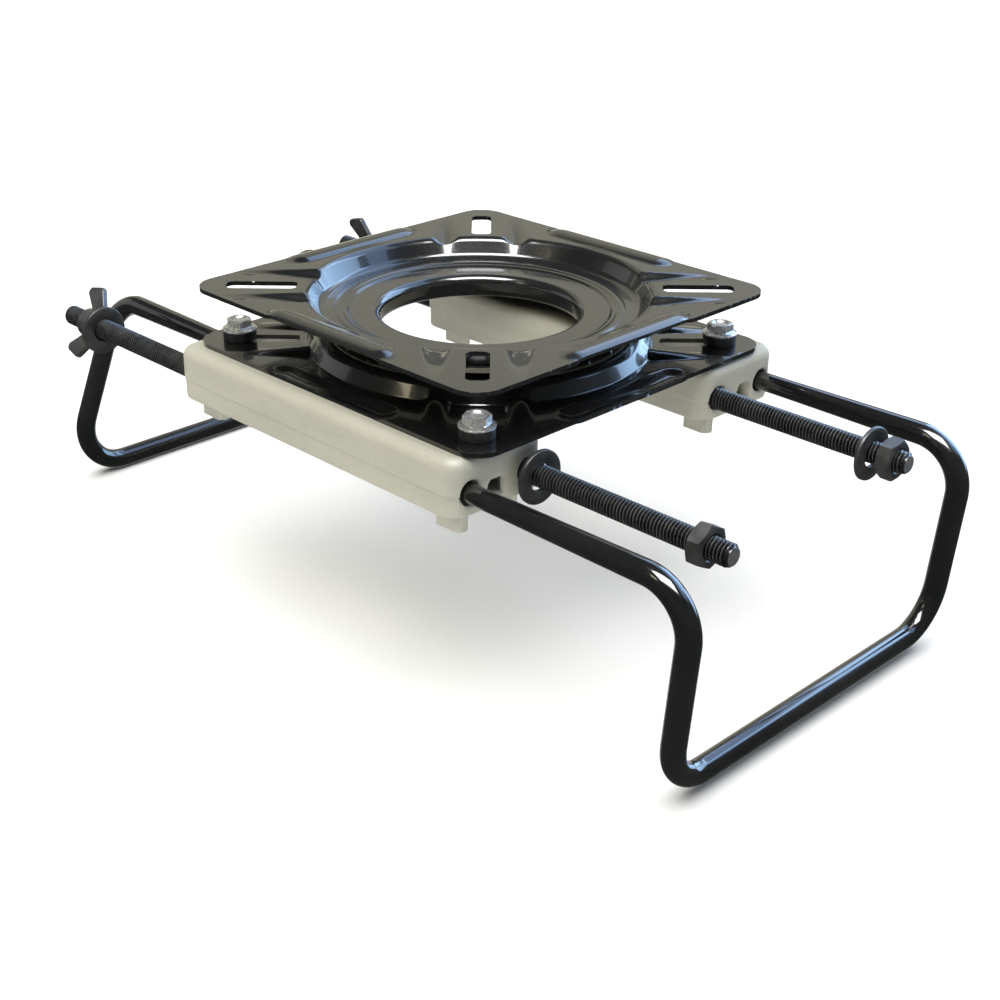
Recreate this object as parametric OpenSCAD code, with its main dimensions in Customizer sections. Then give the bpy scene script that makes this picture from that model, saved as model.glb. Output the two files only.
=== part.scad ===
// Clamp-on swivel seat mount for a boat bench.
// Two pressed plates turn on a ball race, two moulded rails carry the lower plate,
// and two U hooks slide through the rails to grip the bench plank from below.
// Origin: centre of the swivel, halfway between the two plates. +X front hook, +Z up.

/* [Seat plates] */
// Side of the square plates
plate_w = 178; // [160:1:220]
// Corner radius of the plates
plate_corner_r = 12; // [6:0.5:20]
// Thickness of the pressed sheet
sheet_t = 1.9; // [1.4:0.1:2.4]
// Height from the underside of the lower plate to the top of the upper plate
stack_h = 26.4; // [25:0.1:32]
// Radius at which the rim rolls over into the dish
dish_r = 76.5; // [74:0.1:78]
// Slope of the dish wall in degrees
wall_angle = 60; // [45:1:70]
// Bend radius at the top and foot of the dish wall
wall_bend_r = 4; // [3:0.1:5]

/* [Corner slots and ribs] */
// Width of the seat bolt slots
slot_w = 9.3; // [6.5:0.1:10]
// Length of the seat bolt slots
slot_len = 30.6; // [20:0.1:32]
// Distance of the slot's outer end from the plate corner, along the diagonal
slot_margin = 11.5; // [8:0.1:14]
// Corner radius of the slot ends
slot_end_r = 2.8; // [1:0.1:3]
// Distance of each groove beside a slot from the diagonal
groove_offset = 16.4; // [15:0.1:18]
// Width of a groove where it opens into the dish
groove_w = 9.8; // [8:0.1:11]
// Depth of a groove where it opens into the dish
groove_depth = 2.5; // [1.5:0.1:3]
// Length of a groove along the diagonal, from the dish edge
groove_len = 22; // [16:0.5:26]
// Length of the stiffening bead on each side
bead_len = 74; // [50:1:90]
// Width of the stiffening bead
bead_w = 13.4; // [10:0.1:14]
// Height of the stiffening bead
bead_h = 1.8; // [1:0.1:2.2]
// Distance of the bead's crest from the plate edge
bead_inset = 5; // [4.5:0.1:6]

/* [Swivel] */
// Radius of the hole through the swivel
hole_r = 43; // [36:0.5:46]
// Diameter of the bearing balls
ball_d = 6.35; // [5.5:0.05:7.7]
// How far a ball sits into the two pressed races, both together
race_bite = 0.55; // [0.3:0.05:1]
// Number of bearing balls
ball_count = 24; // [12:1:28]
// Pitch radius of the ball race
race_r = 61; // [59.5:0.1:62]
// Gap between the balls and the pressed race
race_gap = 0.3; // [0.2:0.05:0.5]
// Thickness of the ball cage
cage_t = 2.2; // [1.5:0.1:3]
// Width of the cage's rim beside a ball
cage_rim = 1; // [0.8:0.1:1.4]
// Gap around a ball in its cage pocket
pocket_gap = 0.15; // [0.1:0.05:0.3]
// Bend radius of the lip around the hole
lip_r = 3.6; // [3.2:0.1:3.9]
// Depth of the inner ring below the dish floor
ring_step = 0.8; // [0.5:0.1:1]
// Width of the flange rolled out below the lower plate
flange_w = 8; // [6:0.1:10]
// Gap between the rolled flange and the lower plate
flange_gap = 0.35; // [0.3:0.05:0.8]

/* [Rails] */
// Length by which a rail is shorter than the plate
rail_inset = 2; // [0:0.5:8]
// Width of a rail
rail_w = 50; // [46:1:60]
// Height of a rail
rail_h = 24; // [22.5:0.5:34]
// Radius of the rail's upright corners
rail_corner_r = 8; // [5:0.5:10]
// Radius of the rail's top edges
rail_top_r = 5; // [3:0.5:7]
// Radius of the rail's bottom edges
rail_bottom_r = 1; // [0.5:0.5:4]
// Shift of the right rail along X
right_rail_shift = -4; // [-4:0.5:4]
// Shift of the left rail along X
left_rail_shift = 1.5; // [-4:0.5:4]
// Play of a thread in its rail hole, on the diameter
rod_slack = 1.05; // [0.6:0.05:1.6]
// Distance of the rod holes below the rail's top
rod_drop = 14.8; // [12:0.1:16]
// Distance from a plate bolt out to the front hook's leg
outer_rod_offset = 12.2; // [12:0.1:14]
// Distance from a plate bolt in to the rear hook's leg
inner_rod_offset = 18.3; // [15:0.1:20]
// Length of a rubbing foot under a rail
foot_len = 12.5; // [10:0.5:16]
// Width of a foot
foot_w = 6.5; // [5:0.5:10]
// Height of a foot
foot_h = 6.5; // [3:0.5:8]
// Distance of the first row of feet inside the rail's right side
foot_side_inset = 4.2; // [2:0.2:8]
// Distance between the two rows of feet
foot_pitch = 26.5; // [18:0.5:36]
// Distance of the front feet from the rail's front end
foot_front_inset = 1.2; // [1:0.2:10]
// Distance of the rear feet from the rail's rear end
foot_rear_inset = 12; // [1:0.2:14]
// Height of the nut's chamber near a rail's end
pocket_h = 9; // [7:0.1:10]
// Width of the nut's chamber
pocket_w = 15; // [13:0.1:15.5]
// Distance of the chamber's middle inside the bolt
pocket_shift = 2; // [0:0.1:3]
// Depth of the chamber's ceiling below the rail's top
pocket_drop = 11; // [9:0.1:12]
// Width of the chamber's mouth in the rail's end
mouth_w = 9; // [7:0.1:9.5]
// Depth of the mouth's ceiling below the rail's top
mouth_drop = 12; // [11:0.1:13]
// Distance of the mouth's middle inside the bolt
mouth_shift = 0.6; // [0:0.1:2]

/* [Hooks] */
// Diameter of the hook wire in the U
wire_d = 9.6; // [9.6:0.1:10]
// Diameter of the rolled thread
thread_d = 9.35; // [7.7:0.05:9.5]
// Difference between the thread and the plain blank that slides in the rail
thread_rise = 1.15; // [0.8:0.05:1.5]
// Centreline radius of the bends
bend_r = 20; // [15:1:25]
// Drop from the legs to the crossbar
hook_drop = 86; // [70:1:140]
// Distance of the front hook's upright beyond the plate
front_overhang = 101.6; // [85:0.1:130]
// Distance by which the front crossbar leans inward
front_lean = 6.1; // [0:0.1:12]
// Distance of the rear hook's upright beyond the plate
rear_overhang = 112.7; // [95:0.1:140]
// Outward spread of each rear upright, from its leg down to the crossbar
rear_flare = 35.7; // [0:0.1:45]
// Length of the front hook's threaded tips behind the plate
front_stick_out = 105.5; // [85:0.5:115]
// Length of the rear hook's threaded tips before the plate
rear_stick_out = 94; // [85:0.5:115]
// Length of the thread
thread_len = 165; // [100:1:180]
// Chamfer at a thread's tip
tip_chamfer = 1.2; // [0.5:0.1:2]

/* [Fasteners] */
// Width across flats of the plate bolts
bolt_af = 10; // [8:0.1:12]
// Height of the bolt's hexagon
bolt_head_h = 3.7; // [3:0.1:5]
// Diameter of the bolt's flange
bolt_flange_d = 15; // [12:0.1:16]
// Thickness of the bolt's flange
bolt_flange_t = 1.3; // [1:0.1:2]
// Diameter of the bolt's shank
bolt_d = 6.2; // [5:0.1:6.4]
// Length of the bolt below its flange
bolt_len = 25; // [23:0.5:30]
// Diameter of the spacer under a bolt
spacer_d = 14.5; // [12:0.1:16]
// Height of the spacer
spacer_h = 4.3; // [2:0.1:6]
// Width across flats of the nut in the rail
rail_nut_af = 10; // [9:0.1:11]
// Height of the nut in the rail
rail_nut_h = 5; // [4:0.1:6]
// Width across flats of the hexagon nuts on the rear hook
hex_nut_af = 14.3; // [13:0.1:16]
// Height of the hexagon nuts
hex_nut_h = 8.3; // [6:0.1:10]
// Outer diameter of the flat washers
washer_d = 22.5; // [18:0.5:26]
// Play of a flat washer on the thread, on the diameter
washer_slack = 1.65; // [0.6:0.05:2.5]
// Thickness of the flat washers
washer_t = 1.8; // [1.2:0.1:2.5]
// Height of the wing nut's hub
wing_hub_h = 12; // [8:0.5:14]
// Diameter of the wing nut's base
wing_base_d = 16.5; // [14:0.5:20]
// Radius to the tip of a wing
wing_r = 17.8; // [15:0.1:22]
// Thickness of a wing
wing_t = 3; // [2:0.1:4]
// Length of thread that shows behind a wing nut's base
wing_nut_inset = 26.9; // [13:0.1:40]
// Tilt of the right wing nut from upright
right_wing_tilt = 31; // [-90:1:90]
// Tilt of the left wing nut from upright
left_wing_tilt = -36; // [-90:1:90]
// Distance of the right hexagon nut's middle from the rod tip
right_nut_inset = 15; // [6:0.5:30]
// Distance of the left hexagon nut's middle from the rod tip
left_nut_inset = 7; // [6:0.5:12]
// Distance of the right front washer's middle from the rail's end
right_washer_gap = 6; // [1:0.5:40]
// Distance of the left front washer's middle from the rod tip
left_washer_inset = 17; // [17:0.5:60]

/* [Hidden] */
$fn = 72;

black_enamel = "#1c1d20";
grey_nylon = "#bdbcb4";
zinc = "#c8cbd0";
steel = "#9da1a6";
amber_nylon = "#d8d2c0";

slip = 0.01;
half_stack = stack_h / 2;
half_plate = plate_w / 2;
rail_top = -half_stack;
rim_top = half_stack;
floor_gap = ball_d - race_bite;
dish_depth = half_stack - sheet_t - floor_gap / 2;

// Dish section, measured down from the rim's top
floor_z = -dish_depth;
ring_z = floor_z - ring_step;
wall_run = (dish_depth - 2 * wall_bend_r * (1 - cos(wall_angle))) / tan(wall_angle);
foot_r = dish_r - 2 * wall_bend_r * sin(wall_angle) - wall_run;
groove_ball_r = ball_d / 2 + race_gap;
step_r = race_r - 4.6;
cage_w = ball_d + 2 * cage_rim;
lip_centre_r = hole_r + lip_r;
lip_steps = 8;
bend_steps = 6;
flare_r = sheet_t + 1.5;
flare_centre_r = hole_r + flare_r;
lower_ring_underside = -(half_stack + ring_z);
flare_centre_z = lower_ring_underside - flange_gap - half_stack + flare_r - sheet_t;
flange_r = hole_r + flange_w;
lower_hole_r = hole_r + sheet_t + 1.3;
rim_overlap_r = dish_r + 2;

// Corner slots and bolts on the diagonals
corner_reach = half_plate * sqrt(2) - plate_corner_r * (sqrt(2) - 1);
slot_mid = corner_reach - slot_margin - slot_len / 2;
bolt_u = slot_mid + slot_len / 2 - slot_w / 2;
bolt_xy = bolt_u / sqrt(2);

// Pressed grooves and beads
groove_r = (pow(groove_w / 2, 2) + pow(groove_depth, 2)) / (2 * groove_depth);
groove_tilt = atan(groove_depth / groove_len);
groove_start = dish_r + groove_len;
bead_r = (pow(bead_w / 2, 2) + pow(bead_h, 2)) / (2 * bead_h);
bead_line = half_plate - bead_inset;
bead_axis_len = bead_len - bead_w;

// Rails and rods
outer_rod_y = bolt_xy + outer_rod_offset;
inner_rod_y = bolt_xy - inner_rod_offset;
rail_y = (outer_rod_y + inner_rod_y) / 2;
rail_len = plate_w - rail_inset;
rod_hole_d = thread_d + rod_slack;
rod_z = rail_top - rod_drop;
cross_z = rod_z - hook_drop;
pocket_y = bolt_xy - pocket_shift;
pocket_roof = 1.6;
pocket_floor = pocket_drop + pocket_h;
rail_floor = 2.5;
nut_slack = 0.3;
nut_seat = 0.1;
rail_bolt_hole_d = bolt_d + 0.5;
bead_relief = 0.4;

// Hook wire
blank_d = thread_d - thread_rise;
front_reach = half_plate + front_overhang;
rear_reach = half_plate + rear_overhang;
rear_half_w = inner_rod_y + rear_flare;
front_tip = half_plate + front_stick_out;
rear_tip = half_plate + rear_stick_out;
taper_len = 70;
taper_end = bend_r + 4;
bend_lap = 0.4;
lap_step = 0.03;
thread_gap = 0.06;

// Fasteners
hexagon_corner = 1 / cos(30);
corner_relief = 0.2;
nut_corner_slope = 1.4;
shank_gap = 0.15;
bolt_seat_z = rail_top + sheet_t + spacer_h;
nut_side_room = pocket_y + pocket_w / 2 - bolt_xy - rail_nut_af / 2;
rail_nut_z = rail_top - pocket_drop - rail_nut_h - max(0, pocket_roof - nut_side_room) - nut_seat;
washer_hole_d = thread_d + washer_slack;
washer_sag = washer_slack / 2 - thread_gap;
wing_nut_x = wing_nut_inset - front_tip;
right_nut_x = rear_tip - right_nut_inset;
left_nut_x = rear_tip - left_nut_inset;
right_washer_x = rail_len / 2 + right_rail_shift + right_washer_gap;
left_washer_x = rear_tip - left_washer_inset;
wing_gap = 0.2;
wing_washer_x = wing_nut_x + wing_gap + washer_t / 2;

function arc(centre, r, from, to, steps) = [
    for (i = [0 : steps])
        let (a = from + (to - from) * i / steps)
            [centre[0] + r * cos(a), centre[1] + r * sin(a)]
];

function reversed(points) = [for (i = [len(points) - 1 : -1 : 0]) points[i]];

function unit(v) = v / norm(v);

// One line through the sheet at depth d below its top face, from the rim to the inner ring
function dish_line(d) =
    let (
        race_line_r = groove_ball_r + sheet_t - d,
        race_edge = asin((half_stack + floor_z - d) / race_line_r)
    )
    concat(
        [[rim_overlap_r, -d]],
        arc([dish_r, -wall_bend_r], wall_bend_r - d, 90, 90 + wall_angle, bend_steps),
        arc([foot_r, floor_z + wall_bend_r], wall_bend_r + d, wall_angle - 90, -90, bend_steps),
        arc([race_r, -half_stack], race_line_r, race_edge, 180 - race_edge, bend_steps),
        [[step_r + ring_step, floor_z - d], [step_r, ring_z - d]]
    );

// The rolled collar that passes through the lower plate and holds it
function collar_line(d) = concat(
    arc([lip_centre_r, ring_z - lip_r], lip_r - d, 90, 180, lip_steps),
    arc([flare_centre_r, flare_centre_z], flare_r - d, 180, 270, bend_steps),
    [[flange_r, flare_centre_z - flare_r + d]]
);

module rounded_rect(size, r) {
    square([size[0] - 2 * r, size[1]], center = true);
    square([size[0], size[1] - 2 * r], center = true);
    for (x = [-1, 1], y = [-1, 1])
        translate([x * (size[0] / 2 - r), y * (size[1] / 2 - r)])
            circle(r);
}

module capsule(length, r) {
    rotate([90, 0, 0])
        rotate_extrude()
            polygon(concat(
                arc([0, length / 2], r, 90, 0, bend_steps),
                arc([0, -length / 2], r, 0, -90, bend_steps)
            ));
}

module beads(r) {
    for (side = [0 : 3])
        rotate([0, 0, side * 90])
            translate([bead_line, 0, bead_h - bead_r])
                capsule(bead_axis_len, r);
}

// Tilted cylinders beside each slot, which sink as they near the dish
module grooves(r) {
    run_in = 12;
    for (corner = [0 : 3], side = [-1, 1])
        rotate([0, 0, 45 + corner * 90])
            translate([groove_start, side * groove_offset, 0])
                rotate([0, -groove_tilt, 0])
                    translate([-groove_len - run_in, 0, groove_r])
                        rotate([0, 90, 0])
                            cylinder(h = groove_len + run_in + 14, r = r);
}

module slot_cutters() {
    for (corner = [0 : 3])
        rotate([0, 0, 45 + corner * 90])
            translate([slot_mid, 0, -2 * sheet_t])
                linear_extrude(4 * sheet_t)
                    rounded_rect([slot_len, slot_w], slot_end_r);
}

// The dish, ball race and inner ring as one revolved sheet
module dish_sheet(collar) {
    top = collar ? concat(dish_line(0), collar_line(0))
                 : concat(dish_line(0), [[lower_hole_r, ring_z]]);
    under = collar ? concat(dish_line(sheet_t), collar_line(sheet_t))
                   : concat(dish_line(sheet_t), [[lower_hole_r, ring_z - sheet_t]]);
    rotate_extrude()
        polygon(concat(top, reversed(under)));
}

// The air above the dish, down to the middle of its sheet
module dish_air() {
    middle = [for (p = dish_line(sheet_t / 2)) if (p[0] < dish_r) p];
    rotate_extrude()
        polygon(concat([[dish_r - slip, bead_h]], middle, [[0, ring_z], [0, bead_h]]));
}

module below_rim(depth) {
    translate([-half_plate, -half_plate, -depth])
        cube([plate_w, plate_w, depth]);
}

// A square plate with a pressed dish, corner grooves, side beads and slots; rim top at z = 0
module pressed_plate(collar) {
    difference() {
        union() {
            difference() {
                translate([0, 0, -sheet_t])
                    linear_extrude(sheet_t)
                        rounded_rect([plate_w, plate_w], plate_corner_r);
                translate([0, 0, -2 * sheet_t])
                    cylinder(h = 3 * sheet_t, r = rim_overlap_r - 1);
            }
            dish_sheet(collar);
            intersection() {
                beads(bead_r);
                translate([0, 0, -sheet_t / 2])
                    linear_extrude(sheet_t + bead_h)
                        rounded_rect([plate_w, plate_w], plate_corner_r);
            }
            difference() {
                intersection() {
                    grooves(groove_r + sheet_t);
                    below_rim(dish_depth);
                }
                dish_air();
            }
        }
        grooves(groove_r);
        slot_cutters();
        intersection() {
            beads(bead_r - sheet_t);
            translate([-plate_w, -plate_w, -sheet_t - slip])
                cube([2 * plate_w, 2 * plate_w, sheet_t + bead_h]);
        }
    }
}

module upper_plate() {
    color(black_enamel)
        translate([0, 0, rim_top])
            pressed_plate(true);
}

// The same pressing turned over, with a plain punched hole for the collar
module lower_plate() {
    color(black_enamel)
        translate([0, 0, rail_top])
            mirror([0, 0, 1])
                pressed_plate(false);
}

module ball_cage() {
    color(amber_nylon)
        difference() {
            translate([0, 0, -cage_t / 2])
                cylinder(h = cage_t, r = race_r + cage_w / 2);
            translate([0, 0, -cage_t])
                cylinder(h = 2 * cage_t, r = race_r - cage_w / 2);
            for (i = [0 : ball_count - 1])
                rotate([0, 0, i * 360 / ball_count])
                    translate([race_r, 0, -cage_t])
                        cylinder(h = 2 * cage_t, r = ball_d / 2 + pocket_gap, $fn = 24);
        }
}

module bearing_balls() {
    color(steel)
        for (i = [0 : ball_count - 1])
            rotate([0, 0, i * 360 / ball_count])
                translate([race_r, 0, 0])
                    sphere(ball_d / 2, $fn = 24);
}

module rail_block() {
    intersection() {
        translate([0, 0, -rail_h])
            linear_extrude(rail_h)
                rounded_rect([rail_len, rail_w], rail_corner_r);
        rail_section(rail_len, rail_w);
        rotate([0, 0, 90])
            rail_section(rail_w, rail_len);
    }
}

// Rounded upright section, extruded across the block
module rail_section(length, width) {
    rotate([90, 0, 0])
        linear_extrude(width + 2, center = true)
            union() {
                translate([0, -rail_h / 2])
                    square([length - 2 * rail_top_r, rail_h], center = true);
                translate([-length / 2, -rail_h + rail_bottom_r])
                    square([length, rail_h - rail_top_r - rail_bottom_r]);
                for (x = [-1, 1]) {
                    translate([x * (length / 2 - rail_top_r), -rail_top_r])
                        circle(rail_top_r);
                    translate([x * (length / 2 - rail_bottom_r), -rail_h + rail_bottom_r])
                        circle(rail_bottom_r);
                }
            }
}

// Tunnel along X with chamfered top corners, from the depth top down to the chamber's floor
module tunnel(from, to, width, top) {
    half = width / 2;
    depth = pocket_floor - top;
    translate([min(from, to), 0, -top])
        rotate([90, 0, 90])
            linear_extrude(abs(to - from))
                polygon([
                    [-half, -depth], [half, -depth], [half, -pocket_roof],
                    [half - pocket_roof, 0], [-half + pocket_roof, 0], [-half, -pocket_roof]
                ]);
}

// Foot from the origin along +X, with a round front end
module foot() {
    linear_extrude(foot_h + rail_bottom_r)
        union() {
            square([foot_len - foot_w / 2, foot_w]);
            translate([foot_len - foot_w / 2, foot_w / 2])
                circle(foot_w / 2);
        }
}

// One moulded rail. side is -1 on the right and 1 on the left.
module rail(side, shift) {
    chamber_half = rail_nut_af / 2 * hexagon_corner + nut_slack;
    translate([0, side * rail_y, rail_top])
        difference() {
            union() {
                translate([shift, 0, 0])
                    rail_block();
                for (x = [foot_rear_inset, rail_len - foot_front_inset - foot_len], y = [0, foot_pitch])
                    translate([shift - rail_len / 2 + x, y + foot_side_inset - rail_w / 2, -rail_h - foot_h])
                        foot();
            }
            for (y = [-1, 1])
                translate([-rail_len, y * (outer_rod_y - rail_y), -rod_drop])
                    rotate([0, 90, 0])
                        cylinder(h = 2 * rail_len, d = rod_hole_d);
            for (x = [-1, 1]) {
                translate([0, side * (pocket_y - rail_y), 0])
                    tunnel(x * (bolt_xy - chamber_half), x * (bolt_xy + chamber_half), pocket_w, pocket_drop);
                translate([0, side * (bolt_xy - mouth_shift - rail_y), 0])
                    tunnel(x * bolt_xy, shift + x * (rail_len / 2 + 1), mouth_w, mouth_drop);
                translate([x * bolt_xy, side * (bolt_xy - rail_y), -rail_h + rail_floor])
                    cylinder(h = rail_h, d = rail_bolt_hole_d);
            }
            translate([0, -side * rail_y, 0])
                mirror([0, 0, 1])
                    beads(bead_r + bead_relief);
        }
}

module right_rail() {
    color(grey_nylon)
        rail(-1, right_rail_shift);
}

module left_rail() {
    color(grey_nylon)
        rail(1, left_rail_shift);
}

// A rod of radius r from a to b
module rod(a, b, r) {
    along = unit(b - a);
    aside = unit(cross(abs(along[2]) > 0.9 ? [1, 0, 0] : [0, 0, 1], along));
    up = cross(along, aside);
    multmatrix([
        [aside[0], up[0], along[0], a[0]],
        [aside[1], up[1], along[1], a[1]],
        [aside[2], up[2], along[2], a[2]],
        [0, 0, 0, 1]
    ])
        cylinder(h = norm(b - a), r = r);
}

// A round wire through the given corners, each bent to bend_r. The straight lengths are a
// hair thicker than the bends and lap over their ends.
module bent_wire(corners, r) {
    last = len(corners) - 1;
    ways = [for (i = [1 : last]) unit(corners[i] - corners[i - 1])];
    turns = [for (i = [1 : last - 1]) acos(ways[i - 1] * ways[i])];
    trims = concat([bend_lap], [for (turn = turns) bend_r * tan(turn / 2)], [bend_lap]);
    for (i = [1 : last])
        rod(
            corners[i - 1] + ways[i - 1] * (trims[i - 1] - bend_lap),
            corners[i] - ways[i - 1] * (trims[i] - bend_lap),
            r + lap_step
        );
    for (i = [1 : last - 1]) {
        inward = unit(ways[i] - (ways[i] * ways[i - 1]) * ways[i - 1]);
        start = corners[i] - ways[i - 1] * trims[i];
        centre = start + inward * bend_r;
        axis = cross(-inward, ways[i - 1]);
        multmatrix([
            [-inward[0], ways[i - 1][0], axis[0], centre[0]],
            [-inward[1], ways[i - 1][1], axis[1], centre[1]],
            [-inward[2], ways[i - 1][2], axis[2], centre[2]],
            [0, 0, 0, 1]
        ])
            rotate_extrude(angle = turns[i - 1])
                translate([bend_r, 0])
                    circle(r, $fn = 36);
    }
}

// Leg turned about X from its threaded tip to the bend: chamfer, thread, plain blank, taper.
// toward is 1 for the front hook and -1 for the rear hook.
module leg(y, reach, tip, toward) {
    thread_r = thread_d / 2;
    blank_r = blank_d / 2;
    taper_at = reach + tip - taper_end;
    translate([-toward * tip, y, rod_z])
        rotate([0, toward * 90, 0])
            rotate_extrude()
                polygon([
                    [0, 0], [thread_r - tip_chamfer, 0], [thread_r, tip_chamfer],
                    [thread_r, thread_len], [blank_r, thread_len + thread_r - blank_r],
                    [blank_r, taper_at - taper_len], [wire_d / 2, taper_at],
                    [wire_d / 2, taper_at + bend_lap], [0, taper_at + bend_lap]
                ]);
}

module hook(top_x, bottom_x, leg_y, cross_y, tip, toward) {
    start_x = top_x - toward * taper_end;
    bent_wire([
        [start_x, -leg_y, rod_z], [top_x, -leg_y, rod_z], [bottom_x, -cross_y, cross_z],
        [bottom_x, cross_y, cross_z], [top_x, leg_y, rod_z], [start_x, leg_y, rod_z]
    ], wire_d / 2);
    for (side = [-1, 1])
        leg(side * leg_y, abs(top_x), tip, toward);
}

module front_hook() {
    color(black_enamel)
        hook(front_reach, front_reach - front_lean, outer_rod_y, outer_rod_y, front_tip, 1);
}

module rear_hook() {
    color(black_enamel)
        hook(-rear_reach, -rear_reach, inner_rod_y, rear_half_w, rear_tip, -1);
}

// Hexagon washer-head bolt, seated on its spacer
module plate_bolt(x, y) {
    head_top = bolt_flange_t + bolt_head_h;
    translate([x * bolt_xy, y * bolt_xy, bolt_seat_z])
        union() {
            cylinder(h = bolt_flange_t, d = bolt_flange_d);
            intersection() {
                cylinder(h = head_top, d = bolt_af * hexagon_corner, $fn = 6);
                cylinder(h = head_top, r1 = bolt_af / 2 + head_top, r2 = bolt_af / 2 - corner_relief);
            }
            translate([0, 0, -bolt_len])
                cylinder(h = bolt_len + slip, d = bolt_d);
        }
}

module plate_spacer(x, y) {
    translate([x * bolt_xy, y * bolt_xy, bolt_seat_z - spacer_h])
        difference() {
            cylinder(h = spacer_h, d = spacer_d);
            translate([0, 0, -1])
                cylinder(h = spacer_h + 2, d = bolt_d + 2 * shank_gap);
        }
}

// Hexagon nut with chamfered corners, axis along Z, base at z = 0
module nut_body(af, height, hole_d) {
    face_r = af / 2 + corner_relief;
    spread = height * nut_corner_slope;
    difference() {
        intersection() {
            cylinder(h = height, d = af * hexagon_corner, $fn = 6);
            cylinder(h = height, r1 = face_r + spread, r2 = face_r);
            cylinder(h = height, r1 = face_r, r2 = face_r + spread);
        }
        translate([0, 0, -1])
            cylinder(h = height + 2, d = hole_d);
    }
}

module rail_nut(x, y) {
    translate([x * bolt_xy, y * bolt_xy, rail_nut_z])
        nut_body(rail_nut_af, rail_nut_h, bolt_d + 2 * thread_gap);
}

// Flat washer hanging on a threaded rod
module flat_washer(x, y) {
    translate([x - washer_t / 2, y, rod_z - washer_sag])
        rotate([0, 90, 0])
            difference() {
                cylinder(h = washer_t, d = washer_d);
                translate([0, 0, -1])
                    cylinder(h = washer_t + 2, d = washer_hole_d);
            }
}

module hex_nut(x, y) {
    translate([x - hex_nut_h / 2, y, rod_z])
        rotate([0, 90, 0])
            nut_body(hex_nut_af, hex_nut_h, thread_d + 2 * thread_gap);
}

// Outline of one wing: radius from the axis, height above the hub's base
module wing_outline() {
    tip_r = 2.6;
    lean = 7;
    draw_in = 1.4;
    root = 3;
    foot = 1.5;
    polygon(concat(
        [[root, foot], [wing_base_d / 2 - 1, foot]],
        arc([wing_r - tip_r, lean + tip_r + 1], tip_r, -50, 0, bend_steps),
        arc([wing_r - tip_r - draw_in, wing_hub_h + lean - tip_r], tip_r, 20, 120, bend_steps),
        [[root, wing_hub_h - 1]]
    ));
}

module wing_nut(y, tilt) {
    collar_h = 3;
    translate([wing_nut_x, y, rod_z])
        rotate([0, -90, 0])
            rotate([0, 0, tilt])
                difference() {
                    union() {
                        cylinder(h = collar_h, d = wing_base_d);
                        translate([0, 0, collar_h])
                            cylinder(h = wing_hub_h - collar_h, d1 = wing_base_d, d2 = wing_base_d - 3);
                        for (side = [0, 180])
                            rotate([90, 0, side])
                                linear_extrude(wing_t, center = true)
                                    wing_outline();
                    }
                    translate([0, 0, -1])
                        cylinder(h = wing_hub_h + 2, d = thread_d + 2 * thread_gap);
                }
}

module bolt_front_right() { color(zinc) plate_bolt(1, -1); }
module bolt_rear_right() { color(zinc) plate_bolt(-1, -1); }
module bolt_front_left() { color(zinc) plate_bolt(1, 1); }
module bolt_rear_left() { color(zinc) plate_bolt(-1, 1); }
module spacer_front_right() { color(black_enamel) plate_spacer(1, -1); }
module spacer_rear_right() { color(black_enamel) plate_spacer(-1, -1); }
module spacer_front_left() { color(black_enamel) plate_spacer(1, 1); }
module spacer_rear_left() { color(black_enamel) plate_spacer(-1, 1); }
module rail_nut_front_right() { color(zinc) rail_nut(1, -1); }
module rail_nut_rear_right() { color(zinc) rail_nut(-1, -1); }
module rail_nut_front_left() { color(zinc) rail_nut(1, 1); }
module rail_nut_rear_left() { color(zinc) rail_nut(-1, 1); }
module wing_washer_right() { color(black_enamel) flat_washer(wing_washer_x, -outer_rod_y); }
module wing_washer_left() { color(black_enamel) flat_washer(wing_washer_x, outer_rod_y); }
module wing_nut_right() { color(black_enamel) wing_nut(-outer_rod_y, right_wing_tilt); }
module wing_nut_left() { color(black_enamel) wing_nut(outer_rod_y, left_wing_tilt); }
module front_washer_right() { color(black_enamel) flat_washer(right_washer_x, -inner_rod_y); }
module front_washer_left() { color(black_enamel) flat_washer(left_washer_x, inner_rod_y); }
module hex_nut_right() { color(black_enamel) hex_nut(right_nut_x, -inner_rod_y); }
module hex_nut_left() { color(black_enamel) hex_nut(left_nut_x, inner_rod_y); }

upper_plate();
lower_plate();
ball_cage();
bearing_balls();
right_rail();
left_rail();
front_hook();
rear_hook();
bolt_front_right();
bolt_rear_right();
bolt_front_left();
bolt_rear_left();
spacer_front_right();
spacer_rear_right();
spacer_front_left();
spacer_rear_left();
rail_nut_front_right();
rail_nut_rear_right();
rail_nut_front_left();
rail_nut_rear_left();
wing_washer_right();
wing_washer_left();
wing_nut_right();
wing_nut_left();
front_washer_right();
front_washer_left();
hex_nut_right();
hex_nut_left();
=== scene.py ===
"""Looks of the clamp-on swivel seat mount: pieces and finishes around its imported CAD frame.

Sizes in the classes are millimetres in the frame of the CAD part: the origin is the middle of the
swivel, +X points to the front hook and +Z is up. A mesh is scaled to metres once, when its piece is made.
"""

import logging
import math
from dataclasses import dataclass, field
from enum import Enum
from typing import Any, Iterable, Sequence

import bmesh
import bpy
from mathutils import Matrix, Vector


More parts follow.
